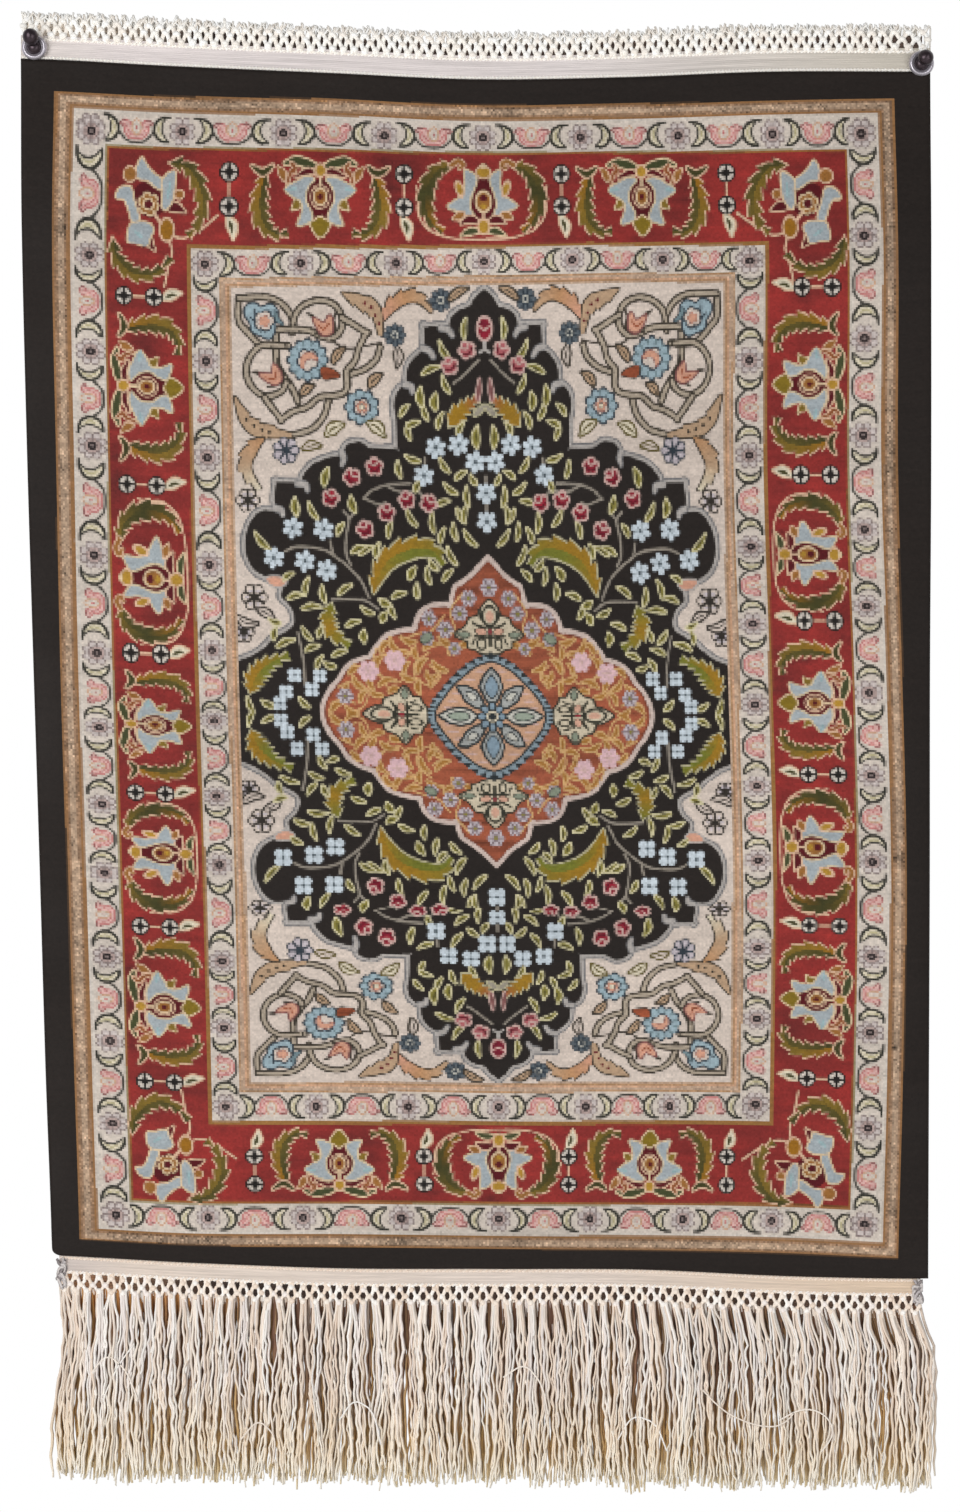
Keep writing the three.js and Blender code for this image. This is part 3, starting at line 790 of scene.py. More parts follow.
def draw_blooms(cartoon, lay):
    """The blue flowers in profile and the two lobed palmettes, with the lilies beside them."""
    bloom = [(-115, 186.6), (-111, 188), (-107.6, 186), (-103, 187.4), (-99.8, 184), (-101, 179.6),
             (-101.6, 174.6), (-104, 171.6), (-108, 173), (-112, 175), (-113, 179), (-115.4, 182.6)]
    lay(Blob(bloom), "sky", "navy", 1.0)
    lay(Stroke([(-101, 183.6), (-99.6, 180), (-97.4, 178.4)], [1, 2, 1]), "teal", "navy", 0.6)
    lay(Stroke([(-110.6, 185.4), (-110.6, 177)], 0.9), "navy")
    lay(Stroke([(-113, 181.6), (-108, 176.4)], 0.9), "navy")
    lay(Stroke([(-108, 175), (-103, 176.6)], 0.9), "navy")
    cartoon.lay(Spot(-106.2, 179.8), Flower(4.3, 5, 0.26), "field", "navy", 1.0)
    cartoon.lay(Spot(-106.2, 179.6), Flower(2.5, 5, 0.3), "salmon", "rose line", 0.4)
    lobed_palmette(cartoon, -85.4, 161.4, 9.3, 12, 0,
                   Stroke([(-2.6, -3), (-2, 0.6), (1, 2), (4, 0.6)], [1.4, 2.4, 2.8, 1.4]))
    lay(Blob([(-79, 157.6), (-74, 157), (-70, 154), (-74.4, 152.8), (-78, 153)]), "rust bud", "scroll", 0.7)
    lobed_palmette(cartoon, -59.6, 139.8, 7.6, 9, 20, Flower(2.6, 5, 0.3))
    cartoon.lay(Spot(-59.6, 139.8), Oval(1.1, 1.1), "moss", "navy", 0.4)
    lily(cartoon, -77.6, 177, 0)
    lily(cartoon, -102.6, 153.8, 25)


def draw_spandrel(cartoon):
    """The scrolls, flowers and leaves between the medallion and the field's corner."""
    lay = cartoon.at(0, 0)
    draw_scrolls(lay)
    draw_blooms(cartoon, lay)
    for row in DRAWN_LEAVES:
        drawn_leaf(lay, *row)
    for (points, widths, side, spots, ink), toothed in zip(SPOTTED_LEAVES, TOOTHED_LEAVES):
        lay(Stroke(points, widths, 4, 1.2, (side,)), "leaf tan", "scroll", 0.9)
        for spot in spots:
            lay(Oval(0.9, 0.9, spot), ink)
        points, widths, teeth, side, shades = toothed
        lay(Stroke(points, widths, teeth, 1.8, (side,)), shades, "scroll", 0.9)
    for p, q, radius in ((-21, 189, 5.2), (-43.4, 173, 5.2)):
        there = cartoon.at(p, q)
        there(Flower(radius, 8, 0.3), "slate", "navy", 0.5)
        there(Spokes(radius - 0.4, 8, 1.2), "navy")
        there(Oval(1.2, 1.2), "navy", "pearl", 0.6)
    drawn_leaf(lay, (-16.4, 189.4), (-8, 194), 3, "leaf tan")
    there = cartoon.at(-96.6, 119.4)
    there(Flower(6, 7, 0.34), "lilac", "navy", 0.8)
    there(Spokes(5.8, 7, 1.2), "navy")
    for p, q, radius in ((-115.4, 96.2, 5.2), (-113.4, 51, 5.8), (-119, 35, 4.4)):
        there = cartoon.at(p, q)
        there(Flower(radius, 6, 0.4), "field", "ink", 0.9)
        there(Spokes(radius, 6, 1.4), "ink")
        for k in range(6):
            angle = math.pi / 3 * k
            there(Oval(0.9, 0.7, (0.62 * radius * math.cos(angle), 0.62 * radius * math.sin(angle))), "lilac")
    drawn_leaf(lay, (-111.4, 45), (-104, 40.4), 3, "field", "ink")
    drawn_leaf(lay, (-122, 41.6), (-112.4, 38.8), 3.2, "field", "ink", -0.15)


LEAVES = [
    (-37, 129, 100, 9), (-35.5, 116.6, 160, 9), (-42, 111.6, 100, 9), (-20, 113.6, 125, 9.5),
    (-12, 109.2, 35, 7.5), (-17.4, 103, 142, 9.5), (-9, 99.4, 95, 11), (-21, 96.4, 15, 8.5),
    (-12.4, 90.6, 120, 9), (-36.4, 89.4, 122, 10.5), (-26, 87.4, 95, 11), (-47, 84, 75, 9),
    (-21.8, 81.6, 70, 8.5), (-15.6, 83.4, 98, 9.5), (-8.4, 80.6, 130, 11), (-17.4, 72.4, 118, 11),
    (-58.6, 73.8, 30, 9.5), (-88, 56.6, 75, 10), (-93.6, 51.6, 15, 9), (-80, 53, 100, 10), (-86, 46.6, 5, 11),
    (-69.4, 55.4, 35, 9.5), (-66, 39.8, 20, 8.5), (-59, 46, 155, 8), (-88.6, 34.8, 130, 8.5),
    (-99, 30.2, 20, 11), (-86, 28.2, 20, 8.5), (-73, 26, 20, 8.5), (-83, 21.6, 60, 8), (-78, 20.4, 160, 6.5),
    (-91, 2.2, 135, 7.5), (-117, 1, 110, 9), (-108.4, 1.4, 155, 8), (-29, 63, 100, 9), (-34.6, 56, 90, 8),
    (-43.4, 53.6, 20, 8.5), (-19.6, 63.4, 45, 8), (-47, 46.6, 110, 8), (-9.4, 176, 85, 11),
    (-19.4, 166, 122, 12), (-26, 157, 22, 11), (-18.8, 150.6, 115, 10.5), (-29, 138, 110, 9),
    (-39, 138.6, 50, 8), (-21.8, 134, 70, 9), (-35, 132, 25, 8.5), (-84, 91.6, 118, 10.5),
    (-109, 77.6, 130, 12.5), (-62.4, 74, 25, 9), (-12, 130.4, 60, 7), (-10.4, 91.6, 80, 9),
    (-33, 104, 60, 6.5), (-53.4, 74, 75, 8), (-71, 83.4, 60, 7), (-96.6, 61, 30, 7), (-104, 40, 160, 7),
    (-104, 34.6, 75, 7), (-82, 35.6, 60, 6.5), (-26.6, 68, 130, 7), (-6, 107, 120, 6),
]
BROAD_LEAVES = [
    (-4, 126.6, 88, 11.5), (-31, 145, 92, 10.5), (-24, 142.8, 88, 9), (-77.4, 107.4, 75, 10),
    (-92.2, 93.6, 95, 9.5), (-64.6, 95, 105, 9), (-36.6, 64, 60, 7.5), (-51, 43.4, 60, 6),
    (-50.6, 50, 150, 6), (-61, 34.4, 90, 6.5),
]
ICE_FLOWERS = [
    (-94, 83.5), (-79, 83), (-103.5, 69.5), (-88.5, 68.2), (-78, 64), (0, 88), (0, 101), (-24, 121.6),
    (-13, 123), (-5, 115), (-30, 108.8),
]
SMALL_ICE_FLOWERS = [(-95, 15), (-83, 15), (-99.5, 7.2), (-87, 8.4), (-102.5, 1.6)]
RED_BUDS = [
    (-54, 112.4, 20), (-65, 107.4, -30), (-75.4, 97.6, 0), (-38.6, 97.4, 30), (-28, 96.2, -20),
    (-48.4, 91.4, 10), (-59, 83.4, 40),
]
PINK_BUDS = [(-8.6, 166, 40), (-17, 159, 30)]
STEMS = [
    [(-98, 72.6), (-93, 74.6), (-85, 74.5), (-78, 73), (-73, 70), (-67, 65.4), (-62, 60), (-58, 52)],
    [(-69.5, 91.6), (-66.8, 87.8), (-68.3, 80), (-68.6, 72), (-66.4, 67)],
    [(-64, 91), (-66.8, 87.8)],
    [(-3, 161.4), (-9, 155.6), (-15, 151)],
    [(-59.6, 97.6), (-55, 101.6), (-48.6, 104), (-43, 104.6), (-36.6, 105)],
    [(-59, 97.6), (-52, 95), (-49, 96)],
    [(-48, 103.6), (-43, 101.4), (-38.6, 101), (-33, 101.6), (-31, 98.6)],
    [(-76, 50.6), (-68, 51), (-60, 50.6), (-54, 47)],
    [(-93, 35), (-91.6, 28), (-90.4, 20), (-90, 11)],
    [(-76, 77.4), (-75, 72.4)],
    [(-29.4, 116.6), (-29.6, 113.4)],
    [(0, 96.4), (0, 93)],
    [(0, 108.4), (0, 105.6)],
]


SAW_LEAVES = [
    ([(-56, 54.6), (-53, 62.6), (-48, 69.6), (-40, 74), (-31, 75.6), (-24.6, 73), (-22.6, 68)],
     [1.4, 6, 8.6, 9, 8, 4.6, 1], 8, (1,), ["saz gold", "saz gold", "saz olive"],
     ["saz gold", "saz olive", "saz olive"]),
    ([(-76, 49), (-78.2, 41), (-76, 35), (-68, 29.6)],
     [1, 5.4, 6.4, 4, 0.8], 6, (-1, 1), ["saz olive", "saz gold", "saz olive"], None),
    ([(-117, 6.6), (-113.6, 14.4), (-107.4, 20.4), (-97.6, 24.6)],
     [2, 8, 7.6, 4, 0.8], 7, (-1, 1), ["saz gold", "saz gold", "saz olive"],
     ["saz gold", "saz olive", "saz olive"]),
    ([(-17.4, 131.6), (-12.6, 137.4), (-8, 141), (-3.4, 144)],
     [2, 7, 5.4, 3.6, 1], 5, (-1, 1), ["saz gold", "saz gold", "rust bud"], None),
]


def field_leaf(cartoon, p, q, angle, length, width):
    lay = cartoon.at(p, q, angle)
    half = 0.4 * length
    lay(leaf((-half, 0), (half, 0), width, 0.08), "leaf", "leaf rim", 0.8)
    lay(Stroke([(-half * 0.5, 0), (half * 0.5, 0.3)], [0.6, 1, 0.5]), "leaf slit")


def ice_flower(cartoon, p, q, radius, petals):
    lay = cartoon.at(p, q, 20 if petals == 6 else 45)
    lay(Flower(radius, petals, 0.55), "ice")
    lay(Spokes(0.7 * radius, petals, 0.5), "ice line")
    lay(Oval(0.18 * radius, 0.18 * radius), "ice dot")


def red_bud(cartoon, p, q, turn, shade):
    lay = cartoon.at(p, q, turn)
    lay(Flower(3.4, 5, 0.3), shade, "blush", 1.2)
    lay(Stroke([(-2.2, -0.6), (0, -2), (2.4, -1)], 1.1), "wine")
    lay(Stroke([(-1.6, 2.4), (0.2, 0.6), (2.2, 1.4)], 1.0), "blush")


def draw_medallion(cartoon, petals):
    lay = cartoon.at(0, 0)
    outline = Blob(MEDALLION)
    lay(outline, "stone", "stone dark", 2.4)
    lay(outline, "black", "stone", 1.5)
    for hook in MEDALLION_HOOKS:
        lay(Stroke(hook, [2.6, 2.4, 1.6]), "stone", "stone dark", 0.5)
    lay(Blob([(-107, 60), (-101, 60.4), (-98, 58.4), (-100.6, 56.4), (-105, 57)]), "salmon", "stone", 0.9)
    for points in STEMS:
        lay(Stroke(points, 1.2), "stem")
    for points, widths, teeth, sides, shades, other in SAW_LEAVES:
        lay(Stroke(points, widths, teeth, 2.4, sides), shades, "saz rim", 0.9, other)
    lay(leaf((-5, 136.4), (0, 141), 2.6), "pale leaf", "saz rim", 0.7)
    lay(leaf((-3.4, 143), (-2.6, 153), 1.8), "rose line", "blush", 0.7)
    for row in LEAVES:
        field_leaf(cartoon, *row, 1.9)
    for row in BROAD_LEAVES:
        field_leaf(cartoon, *row, 3.0)
    for p, q in ICE_FLOWERS:
        ice_flower(cartoon, p, q, 5.1, petals)
    for p, q in SMALL_ICE_FLOWERS:
        ice_flower(cartoon, p, q, 3.9, 4)
    for row in RED_BUDS:
        red_bud(cartoon, *row, "crimson")
    for row in PINK_BUDS:
        red_bud(cartoon, *row, "pink")
    there = cartoon.at(0, 175.6)
    there(Oval(3.2, 4.6), "crimson", "blush", 1.1)
    there(Stroke([(-2.4, 1), (0, -0.4), (2.4, 1)], 0.9), "blush")
    cartoon.lay(Spot(0, 168), Stroke([(0, 1.5), (0, -1.5)], 1.6), "stone")
    cartoon.lay(Spot(0, 166, mirrored=True), Stroke([(0, 0.4), (2.6, -1.2)], 1.2), "stone")


RUST_MEDALLION = [
    (2, 75), (0, 73.4), (-4, 69.6), (-8.4, 65), (-14, 61), (-17.4, 58.6), (-19.6, 51.4), (-19.6, 51.4),
    (-26.6, 50.8), (-32, 48.8), (-35.4, 45), (-37.6, 39.4), (-37.6, 39.4), (-46, 37.8), (-51.6, 35.4),
    (-56, 30.4), (-59.4, 25.8), (-59.4, 25.8), (-66, 23.6), (-71.4, 19.6), (-75, 14), (-79, 9.4), (-82.4, 3),
    (-83.4, -2.5), (-83.4, -8), (2, -8),
]
RUST_LEAVES = [
    (-46.6, 31, 120, 8), (-39.6, 33.6, 165, 8), (-28.6, 30.6, 20, 9), (-22, 33.4, 150, 7),
    (-33.4, 21.6, 55, 9), (-25, 21.6, 145, 9), (-40.4, 15.8, 160, 7.5), (-50.6, 12.6, 20, 9.5),
    (-35, 11.4, 90, 7), (-27.6, 14.6, 60, 8), (-64.4, 12, 130, 8), (-62.4, 5.6, 60, 7), (-75, 0.4, 30, 8),
    (-68, -1, 150, 7), (-54, 23, 60, 7), (-12, 31.4, 20, 7), (-43, 26.4, 20, 8), (-56, 7.6, 160, 7),
    (-51, 30, 45, 7), (-58, 12.6, 100, 7), (-66, 18, 30, 7), (-47, 9, 10, 6), (-36, 27.6, 95, 6),
    (-30, 16.6, 120, 6), (-41, 20.6, 60, 6), (-18, 29.6, 40, 6), (-70, 9, 80, 6),
]
RUST_LOOPS = [
    [(-30, 28), (-37, 22), (-36, 15), (-29, 12), (-25, 17), (-30, 22)],
    [(-55, 29), (-57, 22), (-52, 15), (-45, 13), (-41, 18)],
    [(-74, 10), (-66, 13), (-60, 8), (-62, 1), (-68, -2)],
    [(-22, 45), (-28, 38), (-36, 36), (-43, 33)],
    [(-13, 55), (-19, 47), (-17, 39), (-22, 33), (-18, 27)],
    [(-78, 2), (-72, 4), (-66, 2)],
    [(-44, 34), (-38, 29), (-44, 23), (-50, 25), (-53, 31)],
    [(-66, 21), (-62, 15), (-54, 16), (-50, 10)],
]
LILAC_FLOWERS = [
    (0, 58, 4.4), (-10, 53, 4), (-14.4, 46, 3.8), (-21.6, 38.6, 4), (-29.4, 43.4, 4), (-30.6, 34.4, 3.6),
    (-17.4, 30, 3.2), (-71, 5.6, 4.2),
]


def cream_palmette(lay):
    """A pointed palmette with scalloped edges, broadest at 0, its foot at -9.6 and its tip at 16.8."""
    outer = [(0, 16.8), (2.6, 14.4), (4.6, 11.6), (5.6, 8.8), (9.4, 7.8), (10.8, 5), (13, 2.4), (16.8, -0.2),
             (13, -2.6), (10.8, -3.6), (10.6, -6.4), (7.6, -7.2), (5, -8.8), (0, -9.6)]
    lay(Blob(both_sides(outer)), "palm cream", "palm dark", 1.1)
    lay(Oval(2.9, 4.1, (0, 9)), "palm cream", "palm dark", 1.1)
    lay(Oval(1.9, 2.8, (0, 8.6)), "palm rose")
    lay(Stroke([(0, 4.6), (0, -5.4)], 1.7), "palm dark")
    lay(Stroke([(0.6, 3.8), (3.4, 3.4), (6, 4.4), (8.2, 5.6)], [1.2, 1.7, 1.1]), "palm dark")
    lay(Stroke([(4, 12), (4.6, 8.6), (3.4, 5.8)], [0.7, 1.3, 0.7]), "palm dark")
    lay(Oval(2.5, 1.4, (4.4, 1.2), 10), "palm rose", "palm dark", 0.4)
    lay(Stroke([(0.8, -1.4), (7.4, -1)], 1.2), "palm dark")
    lay(leaf((10, -0.4), (15.6, -0.2), 2.6), "palm green", "palm dark", 0.6)
    lay(Oval(1.5, 2, (4.2, -4.8)), "palm cream", "palm dark", 1.0)
    lay(Stroke([(7.6, -2.8), (8.6, -5)], 1.2), "palm dark")
    lay(Oval(0.8, 1.2, (0, 1.2)), "crimson")


def draw_rust_medallion(cartoon):
    lay = cartoon.at(0, 0)
    outline = Blob(RUST_MEDALLION)
    lay(outline, "rust rim")
    lay(outline, "rust dark", inset=2.2)
    lay(outline, "rust", inset=3.0)
    for points in RUST_LOOPS:
        lay(Stroke(points, 0.85), "rust gold")
    for p, q, angle, length in RUST_LEAVES:
        cartoon.lay(Spot(p, q, angle), leaf((-0.45 * length, 0), (0.45 * length, 0), 1.8, 0.15), "rust leaf",
                    "rust gold", 0.8)
    for p, q, radius in LILAC_FLOWERS:
        there = cartoon.at(p, q)
        there(Flower(radius, 6, 0.3), "lilac")
        there(Spokes(radius, 6, 0.9, 0.5), "lilac line")
        there(Oval(0.9, 0.9), "leaf")
    cartoon.lay(Spot(-31, 34.4, 30), Oval(3, 1.8), "palm green", "palm dark", 0.5)
    for p, q in ((-59.5, 18), (-46.5, 23.5)):
        there = cartoon.at(p, q)
        there(Flower(5, 6, 0.3), "rose pink", "blush", 0.3)
        there(Spokes(3, 6, 0.5, 0.5), "blush")
    cream_palmette(cartoon.at(-42.6, FIELD_MIDDLE, 90, (0.8, 0.8), 1.15, mirrored=True))
    cream_palmette(cartoon.at(0, 36.8, tall=0.92, mirrored=True))


DIAMOND_PETALS = [
    ([(2, 20.6), (0, 20.5), (-3.4, 16.8), (-5.2, 12), (-3, 7), (0, 3), (2, 3)], "petal ring",
     [(2, 17.4), (0, 17.5), (-3, 12.4), (-1.6, 8), (2, 7)], "core blue"),
    ([(2, -24), (0, -24), (-3.6, -19), (-6, -15), (-3.4, -10), (0, -7), (2, -7)], "petal ring",
     [(2, -20), (0, -20), (-3, -14), (0, -9.5), (2, -9.5)], "core blue"),
    ([(-16, 11.5), (-12.6, 11.8), (-7.6, 9.4), (-5, 5), (-4, 1.4), (-8, 2.4), (-12.6, 5.4)], "petal ring",
     [(-12.4, 8.8), (-9.6, 8.6), (-7.4, 6.4), (-10, 5.6)], "pearl"),
    ([(-25.4, -2.5), (-20.5, 0.2), (-15.5, 1.2), (-11, 0.2), (-7.5, -2.5), (-11, -5.2), (-15.5, -6.2),
      (-20.5, -5.2)], "pearl",
     [(-21.4, -2.5), (-16.5, -0.6), (-12, -1.4), (-12, -3.6), (-16.5, -4.4)], "mist"),
]


def draw_diamond(cartoon):
    """The middle: a toothed diamond with eight petals round a dark eye."""
    lay = cartoon.at(0, 0)
    rim = [(0, 27), (-8, 23.8), (-17, 16.7), (-24.4, 8.3), (-28.6, 2.2), (-30, -2.5)]
    lay(Blob([(2, 27.2), *rim, (-30, -8), (2, -8)]), "diamond ink", "diamond ink", 1.5)
    teeth = Stroke([(p * 0.95, q * 0.94) for p, q in rim], 2.2, teeth=11, bite=3.6, sides=(-1,), steps=6)
    lay(teeth, "diamond blue")
    inner = [(p * 0.9, q * 0.88) for p, q in rim]
    lay(Blob([(2, 23.8), *inner, (-27, -8), (2, -8)]), "diamond salmon", "diamond ink", 1.1)
    for p, q, wide in ((-8, 19.4, 5), (-19, 8.6, 6), (-21.6, 5, 5), (-13, 15.4, 5), (-23.4, 1.4, 4)):
        lay(Stroke([(p, q), (p + wide, q)], [0.6, 1.3, 0.6]), "blush")
    for points, ring, core_points, core in DIAMOND_PETALS:
        lay(Blob(points, False), ring, "diamond ink", 1.3)
        lay(Blob(core_points), core, "diamond ink", 0.7)
    for angle in (90, 135, 180, 225, 270):
        bead = Spot(0, FIELD_MIDDLE, angle)
        cartoon.lay(bead, Oval(1.7, 1.3, (5, 0)), "core blue", "diamond ink", 0.8)
    lay(Oval(2, 2, (0, FIELD_MIDDLE)), "diamond ink", "moss", 0.8)


def field_quarter(petals):
    quarter = Cartoon((-124, FIELD_MIDDLE - 2), (1, 198))
    quarter.colour[:] = SHADES["field"]
    draw_spandrel(quarter)
    draw_medallion(quarter, petals)
    draw_rust_medallion(quarter)
    draw_diamond(quarter)
    return quarter


# From the even design to the knots: where its lines lie on the woven carpet
def even_steps(half):
    """Steps out from the middle, the same to both sides."""
    return [*(-step for step in half[::-1]), 0, *half]


DESIGN_P = even_steps([122, 127.5, 141.5, 143.5, 183.5, 186, 200.5, 209.5, 225])
WOVEN_P = [-225, -209.6, -199.6, -183.6, -181.9, -142.4, -140.6, -126.4, -120.5, 5, 123, 128.6, 143.4, 145.2,
           184.6,
           186, 201.6, 210.2, 225]
LEAN_UP = [-300, -240, -100, 0, 60, 120, 200, 300]
LEAN_LEFT = [0.8, 0.6, 0, -0.6, -1.0, -0.8, -0.6, 0]
LEAN_SHARE = ([60, 135, 205, 225], [0, 1, 1, 0])
LEAN_RIGHT = [-1.6, -1.5, -0.5, 0.2, 0.6, 1.0, 1.5, 1.2]
DESIGN_Q = even_steps([195.5, 201, 215.5, 218, 259, 261.5, 276.5, 284.5, 300])
WOVEN_Q = [-300, -286.5, -278, -263.8, -261.6, -224, -221.8, -207.6, -202.4, -20, 194, 198.8, 212.6, 214.6,
           259,
           261, 275.8, 284.6, 300]
RISE_ACROSS = [-225, -178, -122, -60, 0, 60, 122, 178, 225]
RISES = {
    -300: [0, 0, 0, 0, 0, 0, 0, 0, 0],
    -285: [1.2, 1.2, 0.9, 0.4, 0.2, 0.1, 0, 0, 0],
    -277: [-0.6, -0.6, -0.6, -0.4, -0.2, 0.1, 0.3, 0.3, 0.3],
    -205: [-2, -2, -1.7, -1, -0.4, 0.3, 0.8, 0.8, 0.8],
    40: [0, 0, 0, 0, 0, 0, 0, 0, 0],
    205: [-6.2, -6.4, -6.4, -3.4, 0, 0.4, -1, -1.2, -1.2],
    262: [-4.3, -4.1, -3.1, -1.6, 0, -0.6, -1.9, -2.6, -2.6],
    277: [-1.9, -1.9, -2.1, -0.9, 0, -0.2, -0.5, -0.5, -0.5],
    285: [-2.6, -2.6, -1.6, -0.5, 0, -0.6, -1.4, -1.4, -1.4],
    300: [0, 0, 0, 0, 0, 0, 0, 0, 0],
}
FIELD_HALF = (122, 195.5)
# Rings that get the knots' mottle, and with it a painted shade towards the top right, each at its own
# strength.
SPECKLED_AND_SHADED = [((208.4, 283.6), (202.7, 278.5), 1), ((127.5, 201), FIELD_HALF, 0.5)]
MIDDLE_RAISED = ([-34, 0, 28], [0, -1.8, 0])
LOWER_Q = [-195.5, -193, -128, -107, -101, -80, -2.5]
UPPER_Q = [195.5, 193, 121, 101, 92, 72, -2.5]


def design_places():
    """The design's place under each knot, rows from the bottom up."""
    u = np.arange(KNOTS_ACROSS) + 0.5 - KNOTS_ACROSS / 2
    v = np.arange(KNOTS_DOWN) + 0.5 - KNOTS_DOWN / 2
    woven = np.array(WOVEN_P)
    fade = np.interp(abs(woven), *LEAN_SHARE)
    p = np.empty((KNOTS_DOWN, KNOTS_ACROSS))
    for row in range(KNOTS_DOWN):
        left = np.interp(v[row], LEAN_UP, LEAN_LEFT)
        right = np.interp(v[row], LEAN_UP, LEAN_RIGHT)
        p[row] = np.interp(u, woven + np.where(woven < 0, left, right) * fade, DESIGN_P)
    even = np.linspace(-300, 300, 1201)
    level = np.interp(even, DESIGN_Q, WOVEN_Q)
    q = np.empty_like(p)
    for column in range(KNOTS_ACROSS):
        rise = [np.interp(u[column], RISE_ACROSS, row) for row in RISES.values()]
        q[:, column] = np.interp(v, level + np.interp(even, list(RISES), rise), even)
    return p, q


def slow_noise(chance, down, across):
    """A number around 0 for each knot that changes slowly, over so many rows and so many knots."""
    coarse = chance.normal(0, 1, (KNOTS_DOWN // down + 2, KNOTS_ACROSS // across + 2))
    place = np.arange(KNOTS_ACROSS) / across
    wide = np.stack([np.interp(place, np.arange(coarse.shape[1]), row) for row in coarse])
    place = np.arange(KNOTS_DOWN) / down
    low = place.astype(int)
    share = (place - low)[:, None]
    return wide[low] * (1 - share) + wide[low + 1] * share


def ring_of(p, q, outer, inner):
    """Which knots lie between one rectangle of the design and the next one in."""
    return (abs(p) < outer[0]) & (abs(q) < outer[1]) & ~((abs(p) < inner[0]) & (abs(q) < inner[1]))


def woven_pattern():
    """The colour of every knot, rows from the bottom up."""
    whole = Cartoon((-225, -300), (225, 300))
    draw_bands(whole)
    draw_guards(whole)
    draw_border(whole)
    p, q = design_places()
    colour = whole.knots(p, q).astype(float)
    inside = (abs(p) < FIELD_HALF[0]) & (abs(q) < FIELD_HALF[1])
    level = q + np.interp(q, *MIDDLE_RAISED)
    upper = field_quarter(6).knots(-abs(p), level)
    lower = field_quarter(4).knots(-abs(p), np.interp(level, LOWER_Q, UPPER_Q))
    colour[inside] = np.where((level < FIELD_MIDDLE)[..., None], lower, upper)[inside]
    chance = np.random.default_rng(SEED)
    mottle_and_shade = 1 + 0.15 * slow_noise(chance, 3, 3) + chance.normal(0, 0.17, p.shape)
    mottle_and_shade += 0.5 * (chance.random(p.shape) < 0.1) - 0.3 * np.clip(slow_noise(chance, 9, 22) - 0.3, 0, 1)
    # Painted shade: the speckled stripes grow darker towards the top right corner, standing in for light
    # falling off there.
    mottle_and_shade -= 0.22 * smoothstep(p, 60, 190) * smoothstep(q, 120, 270)
    for outer, inner, strength in SPECKLED_AND_SHADED:
        stripe = ring_of(p, q, outer, inner)
        colour[stripe] *= 1 + (mottle_and_shade[stripe][:, None] - 1) * strength
    red = abs(colour - SHADES["red"]).max(-1) < 0.03
    fade = 0.2 * slow_noise(chance, 30, 15) + 0.1 * slow_noise(chance, 3, 9)
    colour[red] *= 1 + np.outer(np.clip(fade, -0.5, 0.6)[red], (1, 0.6, 0.5))
    rust = abs(colour - SHADES["rust"]).max(-1) < 0.02
    streaks = 1 + 0.2 * slow_noise(chance, 2, 22) - 0.16 * smoothstep(abs(q - FIELD_MIDDLE), 32, 60)
    colour[rust] *= np.clip(streaks, 0.5, 1.6)[rust][:, None]
    dye = 1 + 0.045 * slow_noise(chance, 2, 26) + 0.05 * slow_noise(chance, 24, 60)
    dye += chance.normal(0, 0.06, p.shape)
    return np.clip(colour * dye[..., None], 0.002, 0.9)


# Making meshes: edges sharper than these degrees stay sharp, and CUT parts a unit slab's faces from its rim
SHARP = 50
TUBE_SHARP = 75
THIN_TUBE_SHARP = 125
CUT = 0.49


def new_object(name, mesh):
    piece = bpy.data.objects.new(name, mesh)
    bpy.context.scene.collection.objects.link(piece)
    return piece


def mesh_of(bm, name):
    mesh = bpy.data.meshes.new(name)
    bm.to_mesh(mesh)
    bm.free()
    return mesh


def smooth(mesh, degrees):
    """Smooth shading, but for edges sharper than so many degrees."""
    mesh.polygons.foreach_set("use_smooth", np.ones(len(mesh.polygons), bool))
    mesh.set_sharp_from_angle(angle=math.radians(degrees))


def read(items, name, size, kind=float):
    """One property of all items, a row for each."""
    values = np.zeros(len(items) * size, kind)
    items.foreach_get(name, values)
    return values.reshape(-1, size)


def add_colours(mesh, name, domain, colours):
    """Stores a linear colour for each point or corner."""
    layer = mesh.attributes.new(name, "FLOAT_COLOR", domain)
    values = np.ones((len(colours), 4), np.float32)
    values[:, :3] = colours
    layer.data.foreach_set("color", values.ravel())


def add_map(mesh, places):
    """Stores a map of the surface, named OFBake, a place for each corner."""
    layer = mesh.uv_layers.new(name="OFBake")
    layer.uv.foreach_set("vector", np.asarray(places, np.float32).ravel())


def lies_along(edge, axis, side):
    """Whether an edge is on one side of the unit slab, in its upper or lower plane."""
    start, end = (v.co for v in edge.verts)
    return abs(start.z - end.z) < 0.5 and max(abs(start[axis] - side), abs(end[axis] - side)) < 1e-5


def box_of_cells(front, back):
    """A closed unit slab with front cells on its upper side and back cells on its lower side."""
    bm = bmesh.new()
    bmesh.ops.create_grid(bm, x_segments=front[0], y_segments=front[1], size=0.5)
    bmesh.ops.translate(bm, verts=bm.verts[:], vec=(0, 0, 0.5))
    upper = set(bm.verts)
    bmesh.ops.create_grid(bm, x_segments=back[0], y_segments=back[1], size=0.5)
    lower = [v for v in bm.verts if v not in upper]
    bmesh.ops.translate(bm, verts=lower, vec=(0, 0, -0.5))
    under = [f for f in bm.faces if f.verts[0] not in upper]
    bmesh.ops.reverse_faces(bm, faces=under)
    for axis in (0, 1):
        for side in (-0.5, 0.5):
            edges = [e for e in bm.edges if lies_along(e, axis, side)]
            bmesh.ops.bridge_loops(bm, edges=edges)
    bmesh.ops.recalc_face_normals(bm, faces=bm.faces[:])
    return bm


